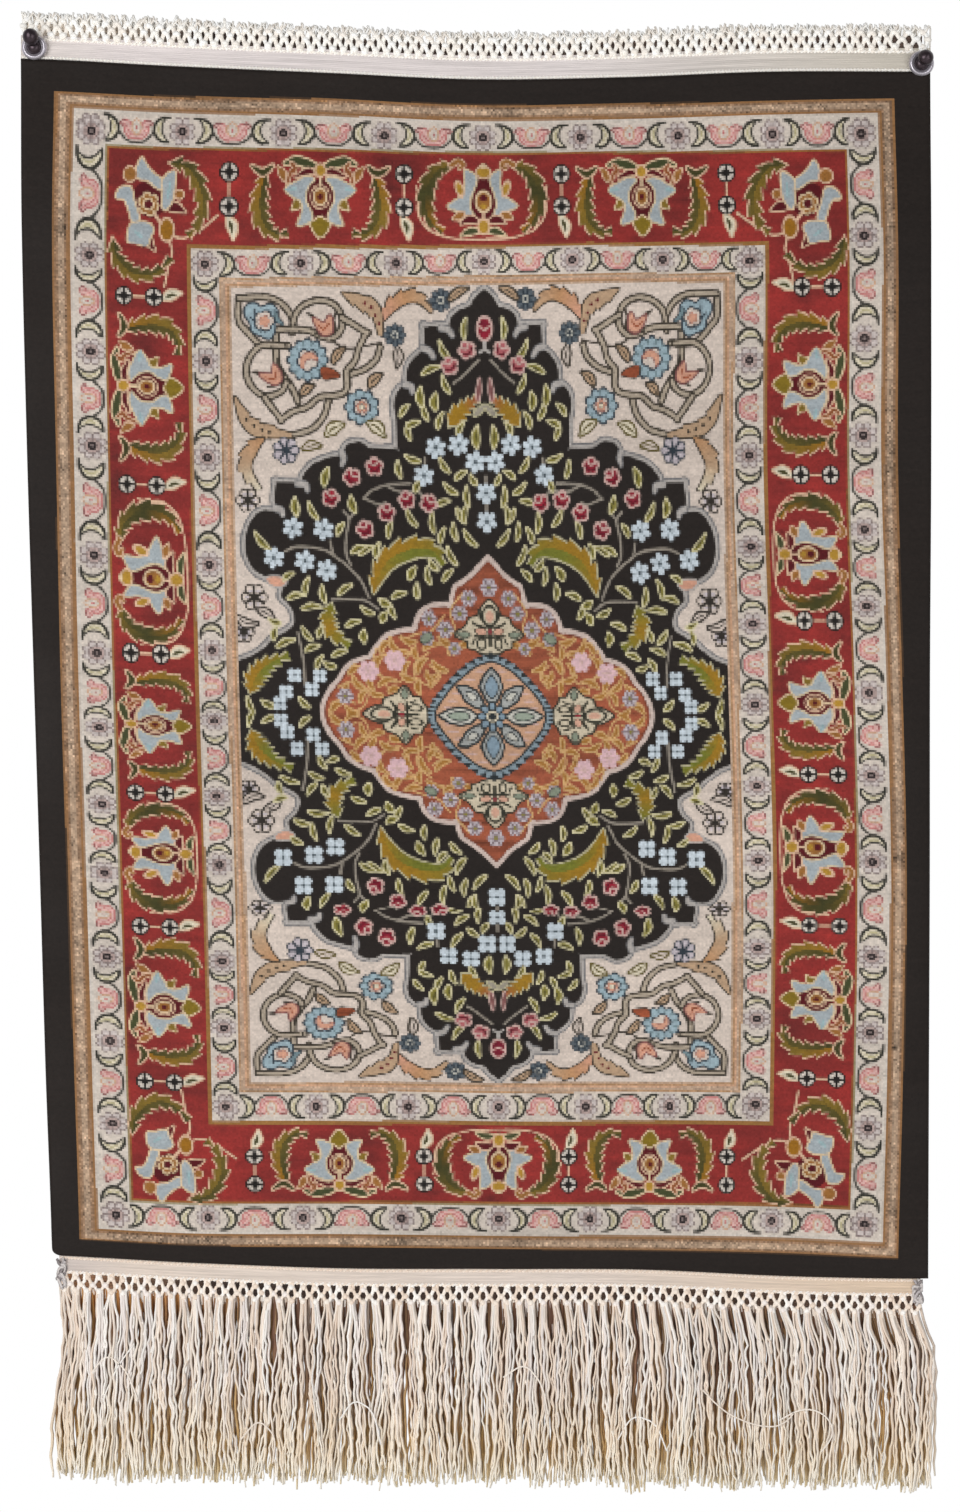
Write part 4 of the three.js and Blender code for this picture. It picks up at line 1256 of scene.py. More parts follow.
class Slab:
    """A unit slab turned into a mesh, with what the cloth pieces read from it."""

    def __init__(self, name, front, back):
        self.mesh = mesh_of(box_of_cells(front, back), name)
        self.shares = read(self.mesh.vertices, "co", 3)
        self.centres = read(self.mesh.polygons, "center", 3)
        sizes = read(self.mesh.polygons, "loop_total", 1, int)[:, 0]
        self.face_of_corner = np.repeat(np.arange(len(sizes)), sizes)
        self.corners = self.shares[read(self.mesh.loops, "vertex_index", 1, int)[:, 0]]
        self.corner_heights = self.centres[self.face_of_corner, 2]

    def map_flat(self):
        """The front on the upper part of the map, the back below it and the rim between them."""
        x, y, z = self.corners.T
        v = np.where(z > 0, 0.405, 0.395) + 0.005 * y
        v = np.where(self.corner_heights > CUT, 0.70 + 0.56 * y, v)
        v = np.where(self.corner_heights < -CUT, 0.20 + 0.36 * y, v)
        add_map(self.mesh, np.stack([0.5 + 0.98 * x, v], axis=-1))

    def place(self, points):
        self.mesh.vertices.foreach_set("co", points.astype(np.float32).ravel())
        self.mesh.update()
        smooth(self.mesh, SHARP)


def tubes(name, centres, radii, sides, across, colours):
    """A piece of closed tubes. centres is tubes by stations by xyz in metres; colours goes with it."""
    count, stations, _ = centres.shape
    radii = np.broadcast_to(radii, (count, stations))
    tangent = np.gradient(centres, axis=1)
    tangent /= np.linalg.norm(tangent, axis=-1, keepdims=True)
    across = np.array(across, float)
    first = across - tangent * (tangent @ across)[..., None]
    first /= np.linalg.norm(first, axis=-1, keepdims=True)
    second = np.cross(tangent, first)
    turn = 2 * math.pi * np.arange(sides) / sides
    ring = first[:, :, None] * np.cos(turn)[:, None] + second[:, :, None] * np.sin(turn)[:, None]
    points = centres[:, :, None] + ring * radii[:, :, None, None]
    tube, k, s = np.meshgrid(range(count), range(stations - 1), range(sides), indexing="ij")
    base = (tube * stations + k) * sides
    after = (s + 1) % sides
    walls = np.stack([base + s, base + after, base + sides + after, base + sides + s], -1)
    starts = np.arange(count)[:, None] * stations * sides + np.arange(sides)[::-1]
    ends = (np.arange(count)[:, None] * stations + stations - 1) * sides + np.arange(sides)
    faces = walls.reshape(-1, 4).tolist() + starts.tolist() + ends.tolist()
    mesh = bpy.data.meshes.new(name)
    mesh.from_pydata(points.reshape(-1, 3).tolist(), [], faces)
    smooth(mesh, TUBE_SHARP if sides > 3 else THIN_TUBE_SHARP)
    shades = np.broadcast_to(colours, (count, stations, 3))
    add_colours(mesh, "yarn_colour", "POINT", np.repeat(shades.reshape(-1, 3), sides, axis=0))
    add_map(mesh, tube_map(count, stations, sides))
    return new_object(name, mesh)


def tube_map(count, stations, sides):
    """Each tube has its own upright cell of the map."""
    map_rows = max(1, round(math.sqrt(count / 16)))
    map_columns = math.ceil(count / map_rows)
    tube = np.arange(count)
    left = (tube % map_columns) / map_columns
    low = (tube // map_columns) / map_rows
    k, s = np.meshgrid(range(stations - 1), range(sides), indexing="ij")
    u = np.stack([s, s + 1, s + 1, s], -1) / sides
    v = np.stack([k, k, k + 1, k + 1], -1) / (stations - 1)
    wall_u = left[:, None, None, None] + (0.1 + 0.8 * u) / map_columns
    wall_v = low[:, None, None, None] + (0.06 + 0.88 * v) / map_rows
    walls = np.stack([wall_u, wall_v], -1).reshape(-1, 2)
    turn = 2 * math.pi * np.arange(sides) / sides
    cap_u = left[:, None] + (0.5 + 0.3 * np.cos(turn)) / map_columns
    caps = []
    for share, order in ((0.025, -1), (0.975, 1)):
        cap_v = low[:, None] + (share + 0.015 * np.sin(turn)) / map_rows
        caps.append(np.stack([cap_u, cap_v], -1)[:, ::order].reshape(-1, 2))
    return np.concatenate([walls, *caps])


# The pile, in strips of knot rows that meet edge to edge
STRIPS = 5
BACK_CELLS = (180, 48)
PILE_ROUNDING = 1.6
PILE_UNEVEN = 0.035
BACK_TONE = 0.85
BACK_LIFT = 0.03
CORNER_ROUNDING = 6


def pile_rise(a, b, unevenness):
    """The pile's thickness: even, but for its rounded outer edges and a slight unevenness."""
    inwards = np.minimum.reduce([a, PILE_WIDTH - a, b, PILE_LENGTH - b])
    fall = np.clip(1 - inwards / PILE_ROUNDING, 0, 1)
    return PILE_THICKNESS - 1.3 * (1 - np.sqrt(1 - 0.98 * fall**2)) + unevenness


def rounded_corner(a, b):
    """Draws the square at the lower left corner together into a quarter of a disc."""
    over = np.clip(CORNER_ROUNDING - a, 0, None)
    up = np.clip(CORNER_ROUNDING - b, 0, None)
    share = np.maximum(over, up) / np.maximum(np.hypot(over, up), 1e-9)
    share = np.where(np.minimum(over, up) > 0, share, 1)
    return a + over * (1 - share), b + up * (1 - share)


def pile_strip(number, knots, unevenness, back_knots):
    rows = KNOTS_DOWN // STRIPS
    first = number * rows
    slab = Slab(f"pile_{number + 1}", (KNOTS_ACROSS, rows), BACK_CELLS)
    slab.map_flat()
    a = (slab.shares[:, 0] + 0.5) * PILE_WIDTH
    b = (first + (slab.shares[:, 1] + 0.5) * rows) * PILE_LENGTH / KNOTS_DOWN
    row = np.clip(np.round(b).astype(int), 0, KNOTS_DOWN)
    column = np.clip(np.round(a).astype(int), 0, KNOTS_ACROSS)
    a, b = rounded_corner(a, b)
    front = slab.shares[:, 2] > 0
    rise = np.where(front, pile_rise(a, b, unevenness[row, column]), 0)
    slab.place(hung(a, b, rise))

    def knot_at(shares):
        row = np.clip((first + (shares[:, 1] + 0.5) * rows).astype(int), 0, KNOTS_DOWN - 1)
        column = np.clip(((shares[:, 0] + 0.5) * KNOTS_ACROSS).astype(int), 0, KNOTS_ACROSS - 1)
        return row, column

    shown = knots[knot_at(slab.centres)][slab.face_of_corner]
    behind = slab.corner_heights < -CUT
    shown[behind] = back_knots[knot_at(slab.corners)][behind]
    add_colours(slab.mesh, "knot_colour", "CORNER", shown)
    return new_object(f"pile_{number + 1}", slab.mesh)


# The flat-woven ends
WEFT_PITCH = 0.92
WEFT_DEPTH = 0.1
FLAT_SHADES = {
    "top_flat_weave": ["DAD1CB", "DBD2D0", "D6CECC", "C6BFB2"],
    "bottom_flat_weave": ["C3B8B3", "D8CABE", "D6C9BF", "D6BFA6"],
}


def weave_shades(name, a, share, random):
    """The flat weave's colour: a little different towards either end, faint streaks across, painted shade at
    its edges.
    """
    shade = between([srgb(shade) for shade in FLAT_SHADES[name]], np.array([0, 0.1, 0.6, 1]) * PILE_WIDTH, a)
    rows = 11
    start = random.uniform(0, 2 * math.pi, (2, rows))
    row = np.clip((share * rows).astype(int), 0, rows - 1)
    streak = 0.06 * np.sin(a / 17 + start[0][row]) + 0.05 * np.sin(a / 41 + start[1][row])
    # Painted shade: a darker line along the weave's upper and lower edges.
    edge = 0.1 * smoothstep(abs(share - 0.5), 0.38, 0.5)
    return shade * (1 + streak - edge)[:, None]


def flat_end(name, low, high, inset, random):
    rows = round((high - low) / WEFT_PITCH * 3)
    cells = (150, rows)
    slab = Slab(name, cells, cells)
    slab.map_flat()
    a = inset + (slab.shares[:, 0] + 0.5) * (PILE_WIDTH - 2 * inset)
    share = slab.shares[:, 1] + 0.5
    b = low + share * (high - low)
    front = slab.shares[:, 2] > 0
    wander = 0.16 * np.sin(a / 23 + 2 * np.sin(a / 61)) + 0.1 * np.sin(a / 7.7)
    rib = WEFT_DEPTH * np.cos(2 * math.pi * (b + wander) / WEFT_PITCH)
    rise = np.where(front, FLAT_WEAVE_THICKNESS - WEFT_DEPTH + rib, WEFT_DEPTH - rib)
    slab.place(hung(a, b, rise))
    add_colours(slab.mesh, "weave_colour", "POINT", weave_shades(name, a, share, random))
    return new_object(name, slab.mesh)


# The fringes: warp bundles tied into a net of staggered gaps, and the loose yarns that leave it
BOTTOM_BUNDLES = 72
TOP_BUNDLES = 83
NET_RISE = 0.8
LEG_SPLIT = 0.15
KNOT_HALF_HEIGHT = 1.5
CREAM = ["FBF0E4", "F6E8DA", "FDF8F2", "F0DECD", "F7EEE8"]
TOP_CREAM = ["FDFAF4", "FBF6EE", "FEFDFA", "F6EFE6"]
ROUGH = ["BDB6B6", "A39B9A", "D2CBC8", "8E8686"]
# Browns for the middle layer, painted shade that shows between the locks.
SHADOW_BROWNS = ["A8805F", "C39A66", "94705A", "D0AC7C", "B89880"]
# Painted shadow in the nets' gaps: colours of the cords behind each net, from its left end on.
TOP_GAP_SHADOWS = ["DDD3C6", "A89A8C", "3A2E29", "5A4A42"]
BOTTOM_GAP_SHADOWS = ["A07250", "7C604C", "3A2E29", "5A463A"]


def picked(names, count, random):
    """A colour for each of count yarns, drawn from a few."""
    shades = np.array([srgb(name) for name in names])
    return shades[random.integers(0, len(names), count)]


def net_cords(name, bundles, inset, edge, ties, radius, knot_radius, colours, random):
    """Two cords a bundle, tied with its neighbours' by turns, and a knot wherever they are tied."""
    direction = 1 if edge > 0 else -1
    pitch = (PILE_WIDTH - 2 * inset) / bundles
    swing = [0.5 - LEG_SPLIT if k % 2 else LEG_SPLIT for k in range(len(ties))]
    steps = np.linspace(0, len(ties), 9)
    heights = np.interp(steps, range(len(ties) + 1), [ties[0] - 2.5, *ties])
    swings = along([LEG_SPLIT, *swing], steps / len(ties))
    bundle = np.repeat(np.arange(bundles), 2)
    side = np.tile([-1, 1], bundles)
    wobble = random.normal(0, 0.12, (len(bundle), 9))
    a = inset + pitch * (bundle[:, None] + 0.5 + side[:, None] * swings) + wobble
    rise = NET_RISE + 0.35 * side[:, None] * np.cos(math.pi * steps)
    cords = hung(a, edge + direction * heights, rise)
    cord_radii = np.full(cords.shape[:2], radius) * (1 + random.normal(0, 0.06, (len(bundle), 1)))
    lumps = []
    profile = np.linspace(-1, 1, 9)
    for k, tie in enumerate(ties):
        places = np.arange(bundles) + 0.5 if k % 2 == 0 else np.arange(bundles + 1)
        across = inset + pitch * np.clip(places, 0.2, bundles - 0.2)
        a = across[:, None] + 0.25 * profile + random.normal(0, 0.15, (len(places), 1))
        up = tie + random.normal(0, 0.15, (len(places), 1)) + KNOT_HALF_HEIGHT * profile
        lumps.append(hung(a, edge + direction * up, NET_RISE + 0.2))
    lumps = np.concatenate(lumps)
    size = knot_radius * (1 + random.normal(0, 0.07, (len(lumps), 1)))
    lump_radii = size * np.sqrt(1.02 - profile**2)
    centres = np.concatenate([cords, lumps])
    radii = np.concatenate([cord_radii, lump_radii]) * MM
    shades = picked(colours, len(centres), random)[:, None]
    return tubes(name, centres, radii, 5, (1, 0, 0), shades)


# The bottom yarns: locks of cream yarns before and behind, and browner ones between them, coloured as painted
# shade in the gaps
# Three layers of yarns; the middle one shows between the locks and is coloured with painted shade.
LAYERS = [
    {"name": "front", "yarns": 5, "depth": -1.5, "round": 1.2, "radius": 0.84, "stations": 36, "free": 7.4,
     "rise": 0.8, "open": 2.5, "drift": 1.3},
    {"name": "middle", "yarns": 7, "depth": 0.5, "round": 0, "radius": 0.95, "stations": 14, "free": 4,
     "rise": -0.9, "open": 5.4, "drift": 0.4},
    {"name": "back", "yarns": 6, "depth": 1.9, "round": -0.5, "radius": 0.9, "stations": 14, "free": 6.4,
     "rise": -0.6, "open": 5.4, "drift": 1.3},
]
STRAY_STATIONS = 20
STRAYS = [
    [(112, -672), (121, -682), (130, -688), (145, -693), (155, -691), (160, -684)],
    [(150, -690), (164, -682), (176, -686), (180, -696), (172, -706)],
    [(-196, -668), (-186, -655), (-176, -664), (-170, -680)],
    [(-172, -650), (-181, -662), (-190, -683), (-188, -700)],
    [(-70, -690), (-62, -678), (-52, -684), (-48, -703)],
    [(12, -668), (24, -660), (33, -671), (36, -688)],
    [(70, -700), (78, -686), (90, -690), (96, -706)],
    [(-120, -700), (-110, -688), (-101, -697), (-103, -712)],
]


def stray_threads(front):
    """Loose threads that lie across the locks."""
    threads = []
    for points in STRAYS:
        x, z = np.array(points, float).T
        places = np.linspace(0, 1, STRAY_STATIONS)
        knots = np.linspace(0, 1, len(x))
        curve = [np.interp(places, knots, row) for row in (x, z)]
        curve = [np.convolve(np.pad(row, 2, "edge"), np.ones(5) / 5, "valid") for row in curve]
        threads.append(np.stack([curve[0], np.full(STRAY_STATIONS, front), curve[1]], -1))
    return np.array(threads)


def rough_ends(random):
    """Crumpled grey yarns at either end of the bottom flat weave and its net."""
    t = np.linspace(0, 1, STRAY_STATIONS)
    yarns = []
    for a, drop in ((5.2, 14), (PILE_WIDTH - 5.2, 11)):
        for start in random.uniform(0, 2 * math.pi, (6, 3)):
            over = a + 2.1 * np.sin(8 * t + start[0]) + random.normal(0, 0.5)
            down = 1.6 + drop * t + 1.3 * np.sin(13 * t + start[1])
            yarns.append(hung(over, -down, 2 + 0.7 * np.sin(10 * t + start[2])))
    return np.array(yarns)


def lock_shades(layer, share, t, random):
    """The colour along each yarn: cream and paler at the tips, or, in the middle layer, browner painted
    shade.
    """
    count = len(share)
    low = smoothstep(t, 0.4, 0.9)[:, None]
    tips = smoothstep(t, 0.82, 1)[:, None]
    if layer["name"] != "middle":
        shade = picked(CREAM, count, random)[:, None] * random.uniform(0.86, 1.03, (count, 1, 1))
        shade = shade + (srgb("F6E2BA") - shade) * 0.35 * low
        return shade + (srgb("FFFBF0") - shade) * 0.6 * tips
    # Painted shade between the locks: dark brown near the net, orange-brown at the left end, golden lower
    # down.
    high = (1 - smoothstep(t, 0.05, 0.4))[:, None]
    left = (1 - smoothstep(share, 0.09, 0.26))[:, None, None]
    dark = srgb("6A4A3A") + (srgb("C08442") - srgb("6A4A3A")) * left
    shade = picked(SHADOW_BROWNS, count, random)[:, None]
    shade = shade + (dark - shade) * 0.8 * high
    shade = shade + (srgb("E2C084") - shade) * 0.7 * low
    return shade + (srgb("F4E6C4") - shade) * 0.7 * tips


def bottom_yarns(random):
    pitch = (PILE_WIDTH - 2 * BOTTOM_END_INSET) / BOTTOM_BUNDLES
    wander = random.uniform(0, 2 * math.pi, (2, BOTTOM_BUNDLES, 1))
    pace = random.uniform(0.5, 1.3, (2, BOTTOM_BUNDLES, 1))
    bundle_tip = random.normal(0, 1.2, BOTTOM_BUNDLES)
    lock_opens = random.uniform(0.1, 0.55, (BOTTOM_BUNDLES, 1))
    lock_leans = random.normal(0, 0.9, (BOTTOM_BUNDLES, 1))
    pieces = []
    front = 0
    for layer in LAYERS:
        t = np.linspace(0, 1, layer["stations"])
        sway = 1.5 * np.sin(2 * math.pi * pace[0] * t + wander[0]) * smoothstep(t, 0.05, 0.6)
        sway += lock_leans * smoothstep(t, 0.01, 0.12) * (layer["name"] != "middle")
        beat = 0.5 + 0.5 * np.sin(2 * math.pi * 1.4 * pace[1] * t + wander[1])
        narrow = 1 - 0.3 * beat * smoothstep(t, 0.15, 0.4) * (layer["name"] == "front")
        full = smoothstep(t, 0.03, np.where(layer["drift"] < 1, 0.3, lock_opens))
        count = BOTTOM_BUNDLES * layer["yarns"]
        bundle = np.repeat(np.arange(BOTTOM_BUNDLES), layer["yarns"])
        spread = np.tile(np.linspace(-0.5, 0.5, layer["yarns"]), BOTTOM_BUNDLES)
        member = spread + random.normal(0, 0.05, count)
        share = (bundle + 0.5) / BOTTOM_BUNDLES
        if layer["name"] == "middle":
            share = 0.5 + 0.988 * (share - 0.5)
        start = BOTTOM_END_INSET + share * (PILE_WIDTH - 2 * BOTTOM_END_INSET)
        root = hung(start, -BOTTOM_END - layer["free"], layer["rise"])[:, None] / MM
        opening = layer["open"] + (1.1 * pitch - layer["open"]) * full[bundle]
        own = random.uniform(0, 2 * math.pi, (2, count, 1))
        beat = random.uniform(3, 8, (count, 1))
        waves = 0.42 * np.sin(2 * math.pi * beat * t + own[0]) + random.normal(0, 0.19, (count, len(t)))
        waves = waves * smoothstep(t, 0.02, 0.25)
        drift = random.normal(0, layer["drift"], (count, 1)) * t**1.5
        flare = along(FRINGE_LEAN, share)[:, None] * smoothstep(t, -0.02, 0.26)
        flare = flare + along(FRINGE_FLARE, share)[:, None] * smoothstep(t, 0.1, 0.8)
        x = root[..., 0] + member[:, None] * opening * narrow[bundle] + sway[bundle] + waves + drift + flare
        bulge = layer["round"] * (0.4 - 2.4 * member**2)[:, None]
        depth = layer["depth"] + random.normal(0, 0.3, (count, 1)) - bulge
        y = root[..., 1] + depth * smoothstep(t, 0, 0.12) + 0.3 * np.sin(2 * math.pi * 1.7 * t + own[1])
        tip = TIP_LINE["left"] + (TIP_LINE["right"] - TIP_LINE["left"]) * share
        tip = tip + bundle_tip[bundle] + random.normal(0, 1.6, count) + 7 * random.random(count) ** 6
        z = root[..., 2] + (tip[:, None] - root[..., 2]) * t
        centres = np.stack([x, y, z], -1) * MM
        taper = 1 - 0.12 * t - 0.3 * smoothstep(t, 0.88, 1)
        radii = layer["radius"] * taper * (1 + random.normal(0, 0.12, (count, 1))) * MM
        name = "bottom_yarns_" + layer["name"]
        shades = lock_shades(layer, share, t, random)
        pieces.append(tubes(name, centres, radii, 3, (1, 0, 0), shades))
        front = y.mean() if layer is LAYERS[0] else front
    strays = stray_threads(front - 2.2) * MM
    rough = rough_ends(random)
    radii = np.repeat([0.45, 0.8], [len(strays), len(rough)])[:, None] * np.ones(STRAY_STATIONS) * MM
    shades = np.concatenate([picked(CREAM[:3], len(strays), random), picked(ROUGH, len(rough), random)])
    name = "bottom_stray_threads"
    pieces.append(tubes(name, np.concatenate([strays, rough]), radii, 3, (0, 1, 0), shades[:, None]))
    return pieces


# The top yarns stand up from their net, turn over and hang behind the carpet
TOP_YARNS = 6
TOP_STATIONS = 13
TOP_PATH = {
    "rise": [0, 0.6, 1, 0.5, 0, 0],
    "drop": [0, 0, 0, 0.05, 0.4, 1],
    "behind": [0, 0, 0.5, 0.95, 1, 1],
}


def top_yarns(random):
    count = TOP_BUNDLES * TOP_YARNS
    share = (np.repeat(np.arange(TOP_BUNDLES), TOP_YARNS) + 0.5) / TOP_BUNDLES
    member = np.tile(np.linspace(-0.5, 0.5, TOP_YARNS), TOP_BUNDLES)
    t = np.linspace(0, 1, TOP_STATIONS) ** 1.25
    path = {name: along(values, t) for name, values in TOP_PATH.items()}
    root = hung(share * PILE_WIDTH, PILE_LENGTH + TOP_END + GAP + TOP_NET - 0.6, NET_RISE + 0.8) / MM
    rise = TOP_LOCK["rise"] - 1.4 + random.normal(0, 0.8, (count, 1))
    drop = TOP_LOCK["drop"] + random.normal(0, 4, (count, 1))
    behind = -TOP_LOCK["off_wall"] - 0.55 * random.random((count, 1))
    own = random.uniform(0, 2 * math.pi, (count, 1))
    spread = member[:, None] * (1.6 + 4.4 * smoothstep(t, 0.05, 0.3))
    lean = random.normal(0, 1.1, (count, 1)) * t
    x = root[:, :1] + spread + lean + 0.5 * np.sin(2 * math.pi * 1.8 * t + own) * smoothstep(t, 0, 0.3)
    y = root[:, 1:2] + path["behind"] * (behind - root[:, 1:2]) + 0.25 * member[:, None]
    z = root[:, 2:] + path["rise"] * rise - path["drop"] * drop
    centres = np.stack([x, y, z], -1) * MM
    radii = 0.62 * (1 + random.normal(0, 0.1, (count, 1))) * np.ones(TOP_STATIONS) * MM
    shades = picked(TOP_CREAM, count, random)[:, None]
    return tubes("top_yarns", centres, radii, 3, (1, 0, 0), shades)


# Twined cords along the flat-woven ends
TWIST_PITCH = 3.4
TWIST_STATIONS = 420


def twined_cord(name, places, inset, radius, colours, random):
    """Two plies a place, twisted round each other from side to side."""
    a = np.linspace(inset, PILE_WIDTH - inset, TWIST_STATIONS)
    turn = 2 * math.pi * a / TWIST_PITCH
    plies = []
    for b, rise in places:
        for start in (0, math.pi):
            height = b + 0.5 * radius * np.sin(turn + start)
            plies.append(hung(a, height, rise + 0.5 * radius * np.cos(turn + start)))
    shades = picked(colours, len(plies), random)[:, None]
    return tubes(name, np.array(plies), 0.55 * radius * MM, 4, (0, 0, 1), shades)


def net_shadow_backing(name, places, inset, shades):
    """Cords of painted shadow that run across behind a net and darken its gaps, and pale ones behind them."""
    a = np.linspace(inset, PILE_WIDTH - inset, 160)
    cords = np.array([hung(a, b, rise + 0.2 * np.sin(a / 3.1 + b)) for rise in (-0.15, -1.3) for b in places])
    shade = between([srgb(shade) for shade in shades], np.array([0, 0.08, 0.19, 1]) * PILE_WIDTH, a)
    # The painted shadow turns lighter and darker by turns along the net.
    shade = shade * (1 + 0.3 * np.sin(a / 2.9) * np.sin(a / 8.3))[:, None]
    pale = np.tile(srgb(CREAM[1]), (len(a), 1))
    colours = np.array([shade] * len(places) + [pale] * len(places))
    return tubes(name, cords, 0.95 * MM, 4, (0, 0, 1), colours)


# The pins: a disc with a pale rim and a dark knob on a shank
PIN_SHIFTS = {
    "pin_left": {"disc": (1.1, -1.2), "knob": (-1.1, 6.2)},
    "pin_right": {"disc": (-0.6, -1.4), "knob": (2.2, 2.2)},
}
PIN_RIM = "BDB8C0"
PIN_KNOB = "40363B"
PIN_KNOB_REACH = 9
KNOB_HOLE = 3.9
PIN_PROFILE = [(0, 1), (1.2, 0.97), (2.2, 0.86), (3, 0.66), (3.4, 0.4), (3.6, 0.3), (4.1, 0.32), (4.6, 0.44),
               (5.1, 0.5), (5.6, 0.44), (6.1, 0.26), (6.4, 0.08)]


def pin(name):
    place = PIN_PLACES[name]
    spot = hung(place["a"], PILE_LENGTH + place["above_pile"], 0) / MM
    knob_end, spot = (spot + np.insert(PIN_SHIFTS[name][part], 1, 0) for part in ("knob", "disc"))
    under = spot[1] - PILE_THICKNESS - GAP
    profile = [(out, under - PIN["head_height"] * height) for out, height in PIN_PROFILE]
    profile += [(PIN["head_radius"] - 0.3, under), (PIN["shank_radius"] + 0.6, under)]
    profile += [(PIN["shank_radius"], under + 0.3), (PIN["shank_radius"], PIN["into_wall"] - 2)]
    profile += [(0.3, PIN["into_wall"] - 0.1), (0, PIN["into_wall"])]
    bm = bmesh.new()
    points = [bm.verts.new((spot[0] + out, y, spot[2])) for out, y in profile]
    lines = [bm.edges.new(pair) for pair in zip(points, points[1:])]
    centre = (spot[0], 0, spot[2])
    bmesh.ops.spin(
        bm, geom=points + lines, cent=centre, axis=(0, 1, 0), angle=2 * math.pi, steps=48, use_merge=True
    )
    bmesh.ops.remove_doubles(bm, verts=bm.verts[:], dist=0.001)
    bmesh.ops.scale(bm, verts=bm.verts[:], vec=(MM, MM, MM))
    bmesh.ops.recalc_face_normals(bm, faces=bm.faces[:])
    mesh = mesh_of(bm, f"{name}_head")
    smooth(mesh, SHARP)
    places = np.array([v.co for v in mesh.vertices]) / MM
    out = np.hypot(places[:, 0] - spot[0], places[:, 2] - spot[2])
    knob = (out < KNOB_HOLE)[:, None] & (places[:, 1:2] < under - 0.05)
    add_colours(mesh, "pin_colour", "POINT", np.where(knob, srgb(PIN_KNOB), srgb(PIN_RIM)))
    head = new_object(f"{name}_head", mesh)
    t = np.linspace(0, 1, 12)[:, None]
    top = np.array([knob_end[0], under - PIN_KNOB_REACH, knob_end[2]])
    path = np.array([spot[0], under, spot[2]]) * (1 - t) + top * t
    radii = along([2.6, 2.4, 2.6, 3.3, 3.9, 4.0, 3.6, 2.7, 0.4], t[:, 0])
    knob = tubes(f"{name}_knob", path[None] * MM, radii[None] * MM, 20, (1, 0, 0), srgb(PIN_KNOB))
    add_colours(knob.data, "pin_colour", "POINT", np.tile(srgb(PIN_KNOB), (len(knob.data.vertices), 1)))
    return [head, knob]


# Materials
class Nodes:
    """A node tree, with short ways to add nodes and to join one's output to another's input."""

    def __init__(self, tree):
        self.tree = tree

    def node(self, kind, inputs=None, **settings):
        made = self.tree.nodes.new("ShaderNode" + kind)
        for name, value in settings.items():
            setattr(made, name, value)
        return self.fill(made, inputs or {})

    def fill(self, made, inputs):
        for socket, value in inputs.items():
            made.inputs[socket].default_value = value
        return made

    def join(self, start, output, end, socket):
        self.tree.links.new(start.outputs[output], end.inputs[socket])


class Finish(Nodes):
    """A material with its Principled BSDF."""

    def __init__(self, name, inputs):
        self.material = bpy.data.materials.new(name)
        self.material.use_nodes = True
        super().__init__(self.material.node_tree)
        self.shader = self.fill(self.tree.nodes["Principled BSDF"], inputs)


def add_grain():
    """Fine grain drawn out along one direction: a tone around 1, a height for bumps and slow patches."""
    nodes = Nodes(bpy.data.node_groups.new("fibre_grain", "ShaderNodeTree"))
    sockets = nodes.tree.interface
    for name, start in (("Fineness", 900), ("Along X", 1), ("Along Z", 1), ("Depth", 0.2)):
        sockets.new_socket(name, in_out="INPUT", socket_type="NodeSocketFloat").default_value = start
    for name in ("Tone", "Height", "Patches"):
        sockets.new_socket(name, in_out="OUTPUT", socket_type="NodeSocketFloat")
    given = nodes.tree.nodes.new("NodeGroupInput")
    result = nodes.tree.nodes.new("NodeGroupOutput")
    place = nodes.node("TexCoord")
    stretch = nodes.node("CombineXYZ", {"Y": 1})
    scaled = nodes.node("VectorMath", operation="MULTIPLY")
    grain = nodes.node("TexNoise", {"Detail": 3})
    slow = nodes.node("TexNoise", {"Scale": 22, "Detail": 2})
    centred = nodes.node("Math", {1: 0.5}, operation="SUBTRACT")
    tone = nodes.node("Math", {2: 1}, operation="MULTIPLY_ADD")
    nodes.join(given, "Along X", stretch, "X")
    nodes.join(given, "Along Z", stretch, "Z")
    nodes.join(place, "Object", scaled, 0)
    nodes.join(stretch, 0, scaled, 1)
    nodes.join(scaled, 0, grain, "Vector")
    nodes.join(given, "Fineness", grain, "Scale")
    nodes.join(place, "Object", slow, "Vector")
    nodes.join(grain, "Fac", centred, 0)
    nodes.join(centred, 0, tone, 0)
    nodes.join(given, "Depth", tone, 1)
    nodes.join(tone, 0, result, "Tone")
    nodes.join(grain, "Fac", result, "Height")
    nodes.join(slow, "Fac", result, "Patches")


SILK_GRAIN = {"Fineness": 620, "Along X": 0.55, "Along Z": 1, "Depth": 0.42}
YARN_GRAIN = {"Fineness": 1500, "Along X": 1, "Along Z": 0.16, "Depth": 0.3}
WEAVE_GRAIN = {"Fineness": 1300, "Along X": 0.06, "Along Z": 1, "Depth": 0.32}


